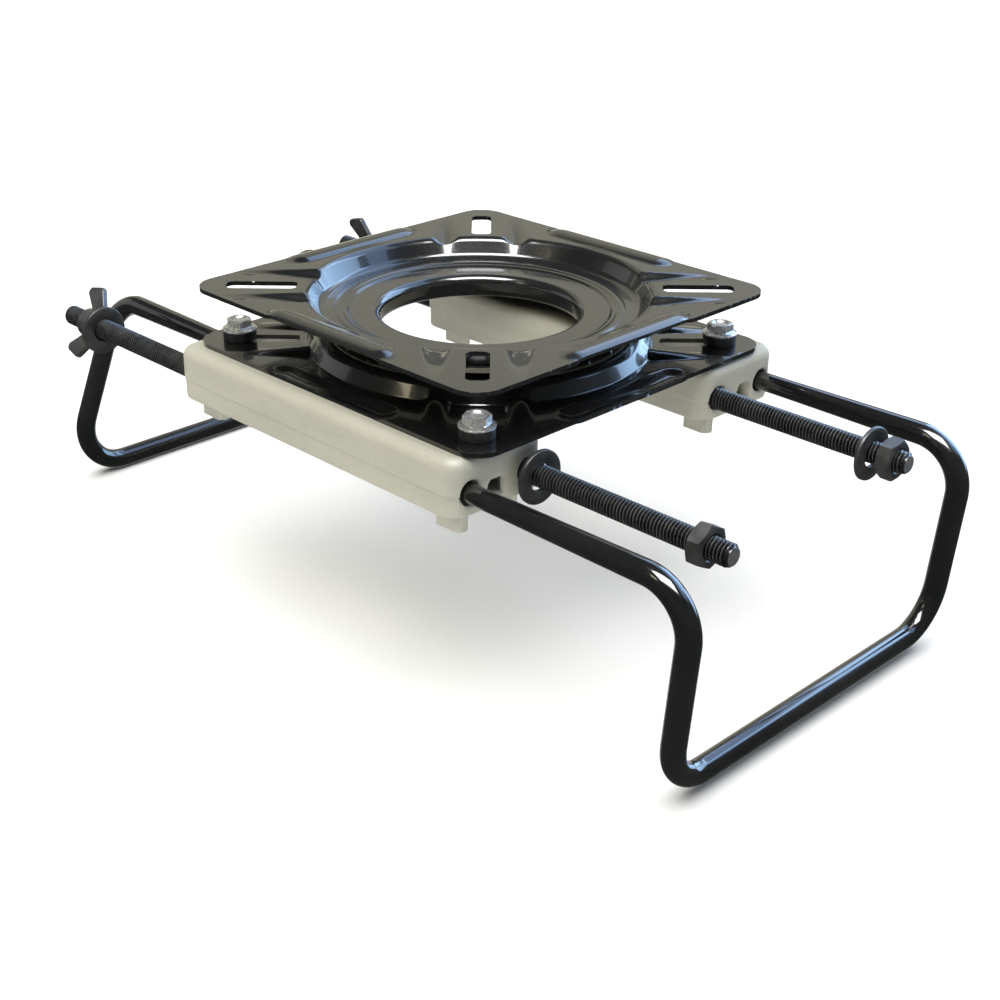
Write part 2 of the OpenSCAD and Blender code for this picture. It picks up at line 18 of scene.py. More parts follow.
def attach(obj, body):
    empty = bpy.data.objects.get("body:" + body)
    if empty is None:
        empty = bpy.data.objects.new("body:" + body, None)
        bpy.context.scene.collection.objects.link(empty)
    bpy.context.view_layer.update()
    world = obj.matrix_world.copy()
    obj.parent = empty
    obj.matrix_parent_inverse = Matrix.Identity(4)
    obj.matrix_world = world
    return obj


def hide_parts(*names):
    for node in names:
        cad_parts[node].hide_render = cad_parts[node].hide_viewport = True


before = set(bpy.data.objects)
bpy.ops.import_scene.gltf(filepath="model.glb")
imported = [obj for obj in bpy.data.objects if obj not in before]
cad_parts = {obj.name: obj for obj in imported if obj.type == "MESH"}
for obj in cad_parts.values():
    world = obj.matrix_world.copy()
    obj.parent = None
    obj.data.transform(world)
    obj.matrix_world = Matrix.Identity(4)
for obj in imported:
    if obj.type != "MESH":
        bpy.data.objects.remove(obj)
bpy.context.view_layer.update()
LOG = logging.getLogger("seat_clamp")
METRES = 0.001
FULL_TURN = 2 * math.pi
ALONG_X = Matrix.Rotation(math.radians(90), 4, "Y")

Point = tuple[float, float]


class Outline(Enum):
    """Plan shape of one ring of a turned or hexagonal part."""

    ROUND = "round"
    HEXAGON = "hexagon"


class Slot(Enum):
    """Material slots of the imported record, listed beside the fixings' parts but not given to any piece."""

    ENAMEL = "black_enamel"
    NYLON = "grey_nylon"
    ZINC = "zinc"
    BLACK_STEEL = "black_steel"
    RUBBER = "black_rubber"


class End(Enum):
    """Ends of the mount along X, as a sign."""

    FRONT = 1
    REAR = -1


class Side(Enum):
    """Sides of the mount along Y, as a sign."""

    RIGHT = -1
    LEFT = 1


@dataclass(frozen=True)
class Layout:
    """Places that the sub-assemblies share, as the CAD part has them."""

    half_stack: float = 13.2
    sheet_t: float = 1.9
    plate_w: float = 178.0
    corner_r: float = 12.0
    slot_len: float = 30.6
    slot_w: float = 9.3
    slot_margin: float = 11.5
    rod_drop: float = 14.8
    outer_rod_offset: float = 12.2
    inner_rod_offset: float = 18.3
    hook_drop: float = 86.0

    @property
    def slot_mid(self) -> float:
        """Distance of a slot's middle from the swivel, along the diagonal."""
        reach = self.plate_w / 2 * math.sqrt(2) - self.corner_r * (math.sqrt(2) - 1)
        return reach - self.slot_margin - self.slot_len / 2

    @property
    def bolt_xy(self) -> float:
        """Distance of a plate bolt from the swivel, along X and along Y."""
        return (self.slot_mid + self.slot_len / 2 - self.slot_w / 2) / math.sqrt(2)

    @property
    def outer_rod_y(self) -> float:
        """Distance of the front hook's legs from the middle."""
        return self.bolt_xy + self.outer_rod_offset

    @property
    def inner_rod_y(self) -> float:
        """Distance of the rear hook's legs from the middle."""
        return self.bolt_xy - self.inner_rod_offset

    @property
    def rod_z(self) -> float:
        """Height of the rods."""
        return -self.half_stack - self.rod_drop

    @property
    def cross_z(self) -> float:
        """Height of the two crossbars."""
        return self.rod_z - self.hook_drop


LAYOUT = Layout()


def arc(centre: Point, radius: float, start: float, end: float, steps: int) -> list[Point]:
    """Points on an arc.

    Args:
        centre: Middle of the arc.
        radius: Radius of the arc.
        start: First angle in degrees.
        end: Last angle in degrees.
        steps: Number of chords.

    Returns:
        steps + 1 points from start to end.
    """
    angles = [math.radians(start + (end - start) * i / steps) for i in range(steps + 1)]
    return [(centre[0] + radius * math.cos(a), centre[1] + radius * math.sin(a)) for a in angles]


def soft_min(a: float, b: float, blend: float) -> float:
    """The smaller of two numbers, with the step between them rounded over blend."""
    return min(a, b) - max(blend - abs(a - b), 0.0) ** 2 / (4 * blend)


def hang(name: str, data: Any) -> bpy.types.Object:
    """Links a new object with that name and data to the scene, and returns it."""
    made = bpy.data.objects.new(name, data)
    bpy.context.scene.collection.objects.link(made)
    return made


class Shape:
    """A mesh in millimetres that is shaped with bmesh operators and then made a piece."""

    def __init__(self) -> None:
        """Starts with an empty mesh."""
        self.bm = bmesh.new()

    def line(self, points: Iterable[Sequence[float]], closed: bool = False) -> list[Any]:
        """Adds a row of edges.

        Args:
            points: Places of its vertices.
            closed: True if the last vertex joins the first.

        Returns:
            The new vertices and edges.
        """
        verts = [self.bm.verts.new(p) for p in points]
        pairs = list(zip(verts, verts[1:])) + ([(verts[-1], verts[0])] if closed else [])
        return verts + [self.bm.edges.new(pair) for pair in pairs]

    def turned(self, profile: Sequence[Point], steps: int, closed: bool = False) -> None:
        """Turns a profile about Z.

        Args:
            profile: Radius and height of each point.
            steps: Number of faces round the turn.
            closed: True for a ring's section, whose last point joins the first.
        """
        row = self.line([(r, 0.0, z) for r, z in profile], closed)
        bmesh.ops.spin(
            self.bm, geom=row, cent=(0, 0, 0), axis=(0, 0, 1), dvec=(0, 0, 0), angle=FULL_TURN,
            steps=steps, use_merge=True, use_normal_flip=False, use_duplicate=False,
        )
        bmesh.ops.remove_doubles(self.bm, verts=self.bm.verts[:], dist=1e-4)
        if closed:
            bmesh.ops.recalc_face_normals(self.bm, faces=self.bm.faces[:])

    def drawn_out(self, outline: Iterable[Sequence[float]], way: Sequence[float]) -> "Shape":
        """Fills an outline and draws it out to a closed solid.

        Args:
            outline: Places round the outline.
            way: Vector to its other end.

        Returns:
            This shape.
        """
        face = bmesh.ops.contextual_create(self.bm, geom=self.line(outline, True))["faces"]
        grown = bmesh.ops.extrude_face_region(self.bm, geom=face)["geom"]
        verts = [g for g in grown if isinstance(g, bmesh.types.BMVert)]
        bmesh.ops.translate(self.bm, vec=way, verts=verts)
        bmesh.ops.recalc_face_normals(self.bm, faces=self.bm.faces[:])
        return self

    def rounded(self, edges: Iterable[Any], radius: float, segments: int) -> None:
        """Rounds some of its edges."""
        bmesh.ops.bevel(
            self.bm, geom=list(edges), offset=radius, offset_type="OFFSET", segments=segments, profile=0.5,
            affect="EDGES", material=-1, clamp_overlap=False,
        )

    def ring_edges(self, verts: Iterable[Any]) -> list[Any]:
        """Edges whose two ends are both in verts, in an order that doesn't vary."""
        inside = dict.fromkeys(verts)
        touching = dict.fromkeys(e for v in inside for e in v.link_edges)
        return [e for e in touching if all(v in inside for v in e.verts)]

    def grown(self, edges: Sequence[Any]) -> tuple[list[Any], list[Any]]:
        """Extrudes edges in place.

        Args:
            edges: Edges to extrude.

        Returns:
            The new vertices and the new edges that lie along the old ones.
        """
        made = bmesh.ops.extrude_edge_only(self.bm, edges=list(edges))["geom"]
        verts = [g for g in made if isinstance(g, bmesh.types.BMVert)]
        return verts, self.ring_edges(verts)

    def close(self) -> None:
        """Fills every open loop and points the faces outward."""
        rim = [e for e in self.bm.edges if e.is_boundary]
        bmesh.ops.holes_fill(self.bm, edges=rim, sides=0)
        bmesh.ops.recalc_face_normals(self.bm, faces=self.bm.faces[:])

    def moved(self, matrix: Matrix) -> "Shape":
        """Places the whole shape with a matrix, and returns it."""
        bmesh.ops.transform(self.bm, matrix=matrix, verts=self.bm.verts[:])
        return self

    def joined(self, other: "Shape") -> "Shape":
        """Adds another shape's mesh to this one, and returns this one."""
        spare = bpy.data.meshes.new("spare")
        other.bm.to_mesh(spare)
        self.bm.from_mesh(spare)
        bpy.data.meshes.remove(spare)
        return self

    def to_object(self, name: str, crease: float = 38.0) -> bpy.types.Object:
        """Makes an object of the shape, in metres, smooth but for its sharp edges.

        Args:
            name: Name of the object.
            crease: Angle in degrees above which an edge stays sharp.

        Returns:
            The new object, linked to the scene.
        """
        for face in self.bm.faces:
            face.smooth = True
        for edge in self.bm.edges:
            edge.smooth = edge.calc_face_angle(0.0) < math.radians(crease)
        bmesh.ops.scale(self.bm, vec=(METRES,) * 3, verts=self.bm.verts[:])
        mesh = bpy.data.meshes.new(name)
        self.bm.to_mesh(mesh)
        self.bm.free()
        return hang(name, mesh)


@dataclass(frozen=True)
class Ring:
    """One ring of a part built up along Z.

    A height falls away outside chamfer_from at 30 degrees, or rises for a lower face.
    """

    size: float
    height: float
    outline: Outline = Outline.ROUND
    chamfer_from: float = math.inf
    slope: float = -math.tan(math.radians(30))

    def place(self, angle: float) -> Vector:
        """Place of the ring's vertex at an angle in radians."""
        radius = self.size
        if self.outline is Outline.HEXAGON:
            sixth = math.radians(60)
            radius = self.size / math.cos((angle % sixth) - sixth / 2)
        z = self.height + self.slope * max(radius - self.chamfer_from, 0.0)
        return Vector((radius * math.cos(angle), radius * math.sin(angle), z))


def stacked(rings: Sequence[Ring], count: int = 72, bored: bool = False) -> Shape:
    """Builds a solid from rings, each extruded from the one before.

    Args:
        rings: The rings in order, round the section.
        count: Vertices in each ring, a multiple of 6.
        bored: True if the last ring joins the first, as round a hole.

    Returns:
        The closed shape.
    """
    shape = Shape()
    first = bmesh.ops.create_circle(shape.bm, cap_ends=False, radius=1.0, segments=count)["verts"]
    angles = {v: math.atan2(v.co.y, v.co.x) for v in first}
    for v in first:
        v.co = rings[0].place(angles[v])
    edges = shape.ring_edges(first)
    start = list(edges)
    for ring in rings[1:]:
        verts, edges = shape.grown(edges)
        for v in verts:
            v.co = ring.place(math.atan2(v.co.y, v.co.x))
    if bored:
        bmesh.ops.bridge_loops(shape.bm, edges=start + edges)
        bmesh.ops.recalc_face_normals(shape.bm, faces=shape.bm.faces[:])
    else:
        shape.close()
    return shape


class Value:
    """A shader socket that adds Math nodes when it is used in an expression."""

    def __init__(self, graph: "Graph", socket: bpy.types.NodeSocket) -> None:
        """Wraps one output socket of a graph's node."""
        self.graph = graph
        self.socket = socket

    def _maths(self, operation: str, first: Any, second: Any) -> "Value":
        """Adds one Math node."""
        return self.graph.add("ShaderNodeMath", {"operation": operation}, {0: first, 1: second})

    def __add__(self, other: Any) -> "Value":
        """Sum."""
        return self._maths("ADD", self, other)

    def __radd__(self, other: Any) -> "Value":
        """Sum with a number in front."""
        return self._maths("ADD", other, self)

    def __sub__(self, other: Any) -> "Value":
        """Difference."""
        return self._maths("SUBTRACT", self, other)

    def __rsub__(self, other: Any) -> "Value":
        """Difference from a number."""
        return self._maths("SUBTRACT", other, self)

    def __mul__(self, other: Any) -> "Value":
        """Product."""
        return self._maths("MULTIPLY", self, other)

    def __rmul__(self, other: Any) -> "Value":
        """Product with a number in front."""
        return self._maths("MULTIPLY", other, self)


class Graph:
    """The node tree of one finish, with its Principled shader."""

    def __init__(self, name: str) -> None:
        """Makes a material with a Principled shader and nothing linked to it."""
        self.material = bpy.data.materials.new(name)
        self.material.use_nodes = True
        self.tree = self.material.node_tree
        self.shader = next(n for n in self.tree.nodes if n.type == "BSDF_PRINCIPLED")
        self.place = self.add("ShaderNodeTexCoord", output="Object")

    def add(
        self,
        kind: str,
        settings: dict[str, Any] | None = None,
        inputs: dict[Any, Any] | None = None,
        output: Any = 0,
    ) -> Value:
        """Adds one node.

        Args:
            kind: Node type.
            settings: Its properties, and "stops" for a ramp, as pairs of place and grey or colour.
            inputs: Values or links of its sockets, by name or number.
            output: Name or number of the output that is wanted.

        Returns:
            That output.
        """
        node = self.tree.nodes.new(kind)
        for key, value in (settings or {}).items():
            if key == "stops":
                self.set_stops(node.color_ramp, value)
            else:
                setattr(node, key, value)
        for key, value in (inputs or {}).items():
            self.feed(node.inputs[key], value)
        return Value(self, node.outputs[output])

    def feed(self, socket: bpy.types.NodeSocket, value: Any) -> None:
        """Links a Value to a socket, or sets the socket to a constant."""
        if isinstance(value, Value):
            self.tree.links.new(value.socket, socket)
        else:
            socket.default_value = value

    @staticmethod
    def set_stops(ramp: bpy.types.ColorRamp, stops: Sequence[tuple[float, Any]]) -> None:
        """Replaces a ramp's stops."""
        while len(ramp.elements) > 1:
            ramp.elements.remove(ramp.elements[-1])
        for i, (at, colour) in enumerate(stops):
            stop = ramp.elements[0] if i == 0 else ramp.elements.new(at)
            stop.position = at
            stop.color = (colour,) * 3 + (1.0,) if isinstance(colour, float) else (*colour, 1.0)

    def grain(
        self, size_mm: float, detail: float = 2.0, stretch: Sequence[float] | None = None
    ) -> Value:
        """Noise from 0 to 1.

        Args:
            size_mm: Size of its features.
            detail: Octaves of finer noise.
            stretch: Factors on X, Y and Z, where the grain runs one way.

        Returns:
            The noise.
        """
        place = self.place
        if stretch:
            place = self.add("ShaderNodeVectorMath", {"operation": "MULTIPLY"}, {0: place, 1: stretch})
        return self.add(
            "ShaderNodeTexNoise", inputs={"Vector": place, "Scale": 1 / (size_mm * METRES), "Detail": detail}
        )

    def patches(
        self, size_mm: float, detail: float, low: float, high: float, stretch: Sequence[float] | None = None
    ) -> Value:
        """Noise that is 0 below low and 1 above high, in patches of a size."""
        return self.ramp(self.grain(size_mm, detail, stretch), (low, 0.0), (high, 1.0))

    def ramp(self, value: Value, *stops: tuple[float, Any]) -> Value:
        """Maps a number through the stops of a colour ramp."""
        return self.add("ShaderNodeValToRGB", {"stops": stops}, {"Fac": value})

    def blend(self, share: Any, first: Any, second: Any) -> Value:
        """Mixes two colours."""
        wide = [(*c, 1.0) if isinstance(c, tuple) else c for c in (first, second)]
        return self.add(
            "ShaderNodeMix", {"data_type": "RGBA"}, {0: share, 6: wide[0], 7: wide[1]}, output=2
        )

    def bump(
        self, height: Value, depth_mm: float, strength: float = 1.0, under: Value | None = None
    ) -> Value:
        """A Bump node on a height from 0 to 1.

        Args:
            height: The height.
            depth_mm: How deep a step from 0 to 1 is.
            strength: Share of it that shows.
            under: Normal of a coarser bump below this one.

        Returns:
            The normal.
        """
        inputs = {"Strength": strength, "Distance": depth_mm * METRES, "Height": height}
        if under:
            inputs["Normal"] = under
        return self.add("ShaderNodeBump", inputs=inputs)

    def finish(self, **sockets: Any) -> bpy.types.Material:
        """Feeds the shader's sockets, named with _ for a space, and returns the material."""
        for key, value in sockets.items():
            name = key.replace("_", " ")
            self.feed(self.shader.inputs[name], (*value, 1.0) if isinstance(value, tuple) else value)
        return self.material


@dataclass(frozen=True)
class Enamel:
    """Glossy stoved enamel on pressed sheet or wire."""

    name: str
    colour: tuple[float, float, float] = (0.0065, 0.0068, 0.0072)
    haze: tuple[float, float, float] = (0.014, 0.0138, 0.0125)
    roughness: float = 0.19
    coat: float = 0.9
    coat_roughness: float = 0.06
    peel_mm: float = 0.012

    def make(self) -> bpy.types.Material:
        """Builds the material: orange peel, a light haze and fine dust."""
        g = Graph(self.name)
        haze = g.patches(55, 3, 0.35, 0.7)
        dust = g.patches(0.8, 1, 0.70, 0.80)
        colour = g.blend(haze * 0.6, self.colour, self.haze)
        colour = g.blend(dust * 0.05, colour, (0.25, 0.24, 0.22))
        peel = g.bump(g.grain(2.4, 2), self.peel_mm * 4, 0.5)
        peel = g.bump(g.grain(0.9, 1), self.peel_mm, 0.6, under=peel)
        return g.finish(
            Base_Color=colour,
            Roughness=haze * 0.09 + dust * 0.1 + self.roughness,
            Coat_Weight=self.coat,
            Coat_Roughness=self.coat_roughness,
            Normal=peel,
        )


@dataclass(frozen=True)
class BlackSteel:
    """Black oxide and wax on threads, nuts and washers."""

    name: str
    colour: tuple[float, float, float] = (0.026, 0.027, 0.028)
    worn: tuple[float, float, float] = (0.075, 0.074, 0.069)
    roughness: float = 0.30
    coat: float = 0.25
    grain_mm: float = 0.5
    depth_mm: float = 0.02

    def make(self) -> bpy.types.Material:
        """Builds the material: patchy oxide over a fine grain."""
        g = Graph(self.name)
        patches = g.patches(6, 4, 0.42, 0.72)
        fine = g.grain(self.grain_mm, 3)
        return g.finish(
            Base_Color=g.blend(patches * 0.55, self.colour, self.worn),
            Roughness=fine * 0.14 + patches * 0.08 + self.roughness,
            Coat_Weight=self.coat,
            Coat_Roughness=0.2,
            Normal=g.bump(fine, self.depth_mm, 0.6),
        )


@dataclass(frozen=True)
class MouldedNylon:
    """Matt moulded nylon with a fine grain, flow marks and a little dirt."""

    name: str
    colour: tuple[float, float, float] = (0.53, 0.52, 0.43)
    flow: tuple[float, float, float] = (0.46, 0.45, 0.37)
    dirt: tuple[float, float, float] = (0.16, 0.15, 0.125)
    roughness: float = 0.46

    def make(self) -> bpy.types.Material:
        """Builds the material: long flow marks, speckle, faint dirt and moulded grain."""
        g = Graph(self.name)
        flow = g.patches(16, 3, 0.35, 0.68, (0.25, 1.0, 1.0))
        speckle = g.patches(0.9, 2, 0.56, 0.72)
        marks = g.patches(9, 5, 0.60, 0.78)
        colour = g.blend(flow, self.colour, self.flow)
        colour = g.blend(speckle * 0.16, colour, self.dirt)
        colour = g.blend(marks * 0.14, colour, self.dirt)
        grain = g.bump(g.grain(7, 2), 0.10, 0.5)
        grain = g.bump(g.grain(0.45, 3), 0.035, 0.7, under=grain)
        return g.finish(
            Base_Color=colour, Roughness=flow * 0.08 + speckle * 0.08 + self.roughness, Normal=grain
        )


@dataclass(frozen=True)
class ZincPlate:
    """Bright zinc plate with a faint yellow and blue passivate."""

    name: str
    colour: tuple[float, float, float] = (0.70, 0.71, 0.725)
    warm: tuple[float, float, float] = (0.74, 0.70, 0.58)
    roughness: float = 0.22

    def make(self) -> bpy.types.Material:
        """Builds the material: passivate colours, dull patches and a cold-headed skin."""
        g = Graph(self.name)
        tint = g.patches(5, 3, 0.40, 0.66)
        dull = g.patches(1.6, 4, 0.45, 0.75)
        skin = g.bump(g.grain(0.7, 3), 0.03, 0.55)
        return g.finish(
            Base_Color=g.blend(tint * 0.5, self.colour, self.warm),
            Metallic=0.55,
            Roughness=dull * 0.2 + self.roughness,
            Normal=skin,
        )


@dataclass(frozen=True)
class BallSteel:
    """Polished bearing steel under a thin film of grease."""

    name: str
    colour: tuple[float, float, float] = (0.60, 0.60, 0.61)
    grease: tuple[float, float, float] = (0.42, 0.36, 0.22)

    def make(self) -> bpy.types.Material:
        """Builds the material."""
        g = Graph(self.name)
        film = g.patches(4, 3, 0.45, 0.65)
        return g.finish(
            Base_Color=g.blend(film * 0.6, self.colour, self.grease),
            Metallic=1.0,
            Roughness=film * 0.22 + 0.1,
            Normal=g.bump(g.grain(2, 2), 0.01, 0.4),
        )


@dataclass(frozen=True)
class MattRubber:
    """Dull black rubber of the spacers."""

    name: str
    colour: tuple[float, float, float] = (0.016, 0.016, 0.017)
    bloom: tuple[float, float, float] = (0.055, 0.053, 0.05)

    def make(self) -> bpy.types.Material:
        """Builds the material: a pale bloom over a fine grain."""
        g = Graph(self.name)
        bloom = g.patches(3, 4, 0.45, 0.75)
        return g.finish(
            Base_Color=g.blend(bloom * 0.5, self.colour, self.bloom),
            Roughness=bloom * 0.15 + 0.5,
            Normal=g.bump(g.grain(0.5, 3), 0.03, 0.7),
        )


@dataclass
class Finishes:
    """Every finish of the mount, made once."""

    sheet: bpy.types.Material
    wire: bpy.types.Material
    thread: bpy.types.Material
    crest: bpy.types.Material
    casting: bpy.types.Material
    nylon: bpy.types.Material
    cage: bpy.types.Material
    zinc: bpy.types.Material
    ball: bpy.types.Material
    rubber: bpy.types.Material

    @classmethod
    def made(cls) -> "Finishes":
        """Makes every finish."""
        wire = Enamel(
            "wire_enamel", (0.005, 0.0053, 0.006), roughness=0.15, coat=1.0, coat_roughness=0.04, peel_mm=0.01
        )
        thread = BlackSteel(
            "thread_black", (0.006, 0.0062, 0.0066), (0.02, 0.0198, 0.019), roughness=0.2, coat=0.6
        )
        # The crest finish is lighter than the rest of the thread: partly wear, partly a painted highlight on
        # the crests against the darker flanks and roots.
        crest = BlackSteel(
            "thread_crest", (0.085, 0.086, 0.088), (0.19, 0.188, 0.18), roughness=0.24, coat=0.5
        )
        return cls(
            sheet=Enamel("sheet_enamel").make(),
            wire=wire.make(),
            thread=thread.make(),
            crest=crest.make(),
            casting=BlackSteel("cast_black", grain_mm=0.8, depth_mm=0.06).make(),
            nylon=MouldedNylon("rail_nylon").make(),
            cage=MouldedNylon("race_nylon", (0.60, 0.55, 0.42), (0.52, 0.47, 0.35)).make(),
            zinc=ZincPlate("bright_zinc").make(),
            ball=BallSteel("race_steel").make(),
            rubber=MattRubber("spacer_rubber").make(),
        )


def add_piece(
    made: bpy.types.Object, finishes: Sequence[bpy.types.Material], body: str, node: str
) -> None:
    """Dresses an object and lets it stand for a CAD node.

    Args:
        made: The object, in place.
        finishes: Its materials, in the order of the mesh's material numbers.
        body: CAD body that it rides on.
        node: CAD node that it replaces.
    """
    for finish in finishes:
        made.data.materials.append(finish)
    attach(made, body)
    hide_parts(node)
    LOG.info("%s: %d faces on %s", made.name, len(made.data.polygons), body)


def even_shading(made: bpy.types.Object) -> None:
    """Evens out an object's shading between its sharp edges."""
    made.modifiers.new("even_shading", "WEIGHTED_NORMAL").keep_sharp = True


def soft_edges(made: bpy.types.Object, width_mm: float, segments: int, angle: float) -> None:
    """Rounds an object's edges that are sharper than an angle in degrees."""
    bevel = made.modifiers.new("soft_edges", "BEVEL")
    bevel.width = width_mm * METRES
    bevel.segments = segments
    bevel.limit_method = "ANGLE"
    bevel.angle_limit = math.radians(angle)
    bevel.use_clamp_overlap = True
    even_shading(made)


def settle(made: bpy.types.Object) -> None:
    """Applies an object's modifiers, so that its mesh is final."""
    bpy.context.view_layer.update()
    graph = bpy.context.evaluated_depsgraph_get()
    mesh = bpy.data.meshes.new_from_object(made.evaluated_get(graph), depsgraph=graph)
    old = made.data
    made.modifiers.clear()
    made.data = mesh
    bpy.data.meshes.remove(old)
    mesh.name = made.name


def combine(made: bpy.types.Object, tool: bpy.types.Object, operation: str) -> None:
    """Joins a tool object to another, or cuts it out, and removes the tool.

    Args:
        made: The object that is changed.
        tool: The closed object that is joined or cut out.
        operation: UNION or DIFFERENCE.
    """
    change = made.modifiers.new("combine", "BOOLEAN")
    change.operation = operation
    change.solver = "EXACT"
    change.object = tool
    settle(made)
    spent = tool.data
    bpy.data.objects.remove(tool)
    bpy.data.meshes.remove(spent)


@dataclass
class PressedPlate:
    """A square plate with a pressed dish, grooves beside its corner slots and a bead on each side."""

    name: str
    body: str
    node: str
    collar: bool
    dish_r: float = 76.5
    dish_depth: float = 8.4
    wall_angle: float = 60.0
    wall_bend_r: float = 4.0
    race_r: float = 61.0
    race_line_r: float = 5.375
    race_to_ring: float = 4.6
    ring_step: float = 0.8
    hole_r: float = 43.0
    lip_r: float = 3.6
    flare_r: float = 3.4
    flange_w: float = 8.0
    flange_gap: float = 0.35
    collar_play: float = 1.3
    slot_end_r: float = 2.8
    groove_offset: float = 16.4
    groove_w: float = 9.8
    groove_depth: float = 2.5
    groove_len: float = 22.0
    bead_len: float = 74.0
    bead_w: float = 13.4
    bead_h: float = 1.6
    bead_inset: float = 5.0
    round_steps: int = 256
    rim_steps: int = 17
    arc_share: float = 0.3
    rim_start: float = 2.0
    press_start: float = 4.0
    press_blend: float = 1.7

    @property
    def join_r(self) -> float:
        """Radius at which the turned dish meets the flat rim."""
        return self.dish_r + self.rim_start

    def dish_profile(self) -> list[Point]:
        """Radius and height along the dish's top face, from the rim inward."""
        floor = -self.dish_depth
        ring = floor - self.ring_step
        slope = math.radians(self.wall_angle)
        run = (self.dish_depth - 2 * self.wall_bend_r * (1 - math.cos(slope))) / math.tan(slope)
        foot_r = self.dish_r - 2 * self.wall_bend_r * math.sin(slope) - run
        race_edge = math.degrees(math.asin((LAYOUT.half_stack - self.dish_depth) / self.race_line_r))
        step_r = self.race_r - self.race_to_ring
        points = [(self.join_r, 0.0)]
        points += arc((self.dish_r, -self.wall_bend_r), self.wall_bend_r, 90, 90 + self.wall_angle, 9)
        points += arc(
            (foot_r, floor + self.wall_bend_r), self.wall_bend_r, self.wall_angle - 90, -90, 9
        )
        points += arc((self.race_r, -LAYOUT.half_stack), self.race_line_r, race_edge, 180 - race_edge, 9)
        points += [(step_r + self.ring_step + 0.5, floor), (step_r + self.ring_step, floor - 0.06)]
        points += [(step_r, ring + 0.06), (step_r - 0.5, ring)]
        return points + (self.collar_profile(ring) if self.collar else self.plain_hole(ring))

    def plain_hole(self, ring: float) -> list[Point]:
        """Last points of the lower plate, whose hole is punched flat."""
        hole = self.hole_r + LAYOUT.sheet_t + self.collar_play
        return [(hole + 4.0, ring), (hole, ring)]

    def collar_profile(self, ring: float) -> list[Point]:
        """Points of the rolled collar that passes through the lower plate and holds it."""
        lip_centre = (self.hole_r + self.lip_r, ring - self.lip_r)
        under = -(LAYOUT.half_stack + ring)
        flare_z = under - self.flange_gap - LAYOUT.half_stack + self.flare_r - LAYOUT.sheet_t
        flare_centre = (self.hole_r + self.flare_r, flare_z)
        points = [(lip_centre[0] + 3.0, ring)]
        points += arc(lip_centre, self.lip_r, 90, 180, 10)
        points += arc(flare_centre, self.flare_r, 180, 270, 8)
        return points + [(self.hole_r + self.flange_w, flare_z - self.flare_r)]

    def rim_place(self, angle: float) -> Point:
        """Place on the rounded square outline that belongs to an angle round the dish.

        Args:
            angle: Angle round the dish in radians.

        Returns:
            X and Y on the outline. The corners get more than their share of the angle.
        """
        quarter = math.radians(90)
        corner = math.floor(angle / quarter)
        share = (angle - corner * quarter) / (quarter / 2) - 1
        half, r = LAYOUT.plate_w / 2, LAYOUT.corner_r
        if abs(share) < self.arc_share:
            turn = math.radians(45) * (1 + share / self.arc_share)
            x, y = half - r + r * math.cos(turn), half - r + r * math.sin(turn)
        else:
            straight = (abs(share) - self.arc_share) / (1 - self.arc_share) * (half - r)
            x, y = (half, half - r - straight) if share < 0 else (half - r - straight, half)
        spun = Matrix.Rotation(corner * quarter, 2) @ Vector((x, y))
        return spun.x, spun.y

    def groove_height(self, x: float, y: float) -> float:
        """Height of the nearest groove's round floor, which sinks towards the dish."""
        along = (abs(x) + abs(y)) / math.sqrt(2)
        across = abs(abs(x) - abs(y)) / math.sqrt(2) - self.groove_offset
        radius = ((self.groove_w / 2) ** 2 + self.groove_depth ** 2) / (2 * self.groove_depth)
        rise = radius - math.sqrt(max(radius ** 2 - across ** 2, 0.0)) if abs(across) < radius else radius
        sunk = self.groove_depth * (self.dish_r + self.groove_len - along) / self.groove_len
        return rise - sunk

    def bead_height(self, x: float, y: float) -> float:
        """Height of the nearest side's bead above the flat rim."""
        far, near = max(abs(x), abs(y)), min(abs(x), abs(y))
        past = max(near - (self.bead_len - self.bead_w) / 2, 0.0)
        off = math.hypot(far - (LAYOUT.plate_w / 2 - self.bead_inset), past) / (self.bead_w / 2)
        return self.bead_h * max(1 - off ** 2, 0.0) ** 1.25

    def press(self, shape: Shape) -> None:
        """Presses the grooves and beads into the flat sheet."""
        for v in shape.bm.verts:
            x, y, z = v.co
            if math.hypot(x, y) > self.race_r + self.press_start:
                v.co.z = soft_min(z, self.groove_height(x, y), self.press_blend) + self.bead_height(x, y)

    def punch(self, shape: Shape, corner: int) -> None:
        """Punches one slot, with a plane for each side of its outline.

        Args:
            shape: The flat sheet.
            corner: Number of the corner, from 0 to 3.
        """
        turn = Matrix.Rotation(math.radians(45 + 90 * corner), 3, "Z")
        half = (LAYOUT.slot_len / 2, LAYOUT.slot_w / 2)
        r = self.slot_end_r
        outline: list[Vector] = []
        for i, (sx, sy) in enumerate(((1, 1), (-1, 1), (-1, -1), (1, -1))):
            middle = (LAYOUT.slot_mid + sx * (half[0] - r), sy * (half[1] - r))
            outline += [turn @ Vector((*p, 0)) for p in arc(middle, r, 90 * i, 90 * i + 90, 6)]
        middle = turn @ Vector((LAYOUT.slot_mid, 0, 0))
        reach = LAYOUT.slot_len / 2 + 3
        inside = [f for f in shape.bm.faces if (f.calc_center_median() - middle).length < reach]
        for a, b in zip(outline, outline[1:] + outline[:1]):
            outward = (b - a).cross(Vector((0, 0, 1))).normalized()
            parts = dict.fromkeys(p for f in inside for p in (f, *f.edges, *f.verts))
            cut = bmesh.ops.bisect_plane(
                shape.bm, geom=list(parts), dist=1e-4, plane_co=a, plane_no=outward,
                clear_inner=False, clear_outer=False,
            )
            faces = [g for g in cut["geom"] if isinstance(g, bmesh.types.BMFace)]
            inside = [f for f in faces if (f.calc_center_median() - a).dot(outward) < 0]
        bmesh.ops.delete(shape.bm, geom=inside, context="FACES")

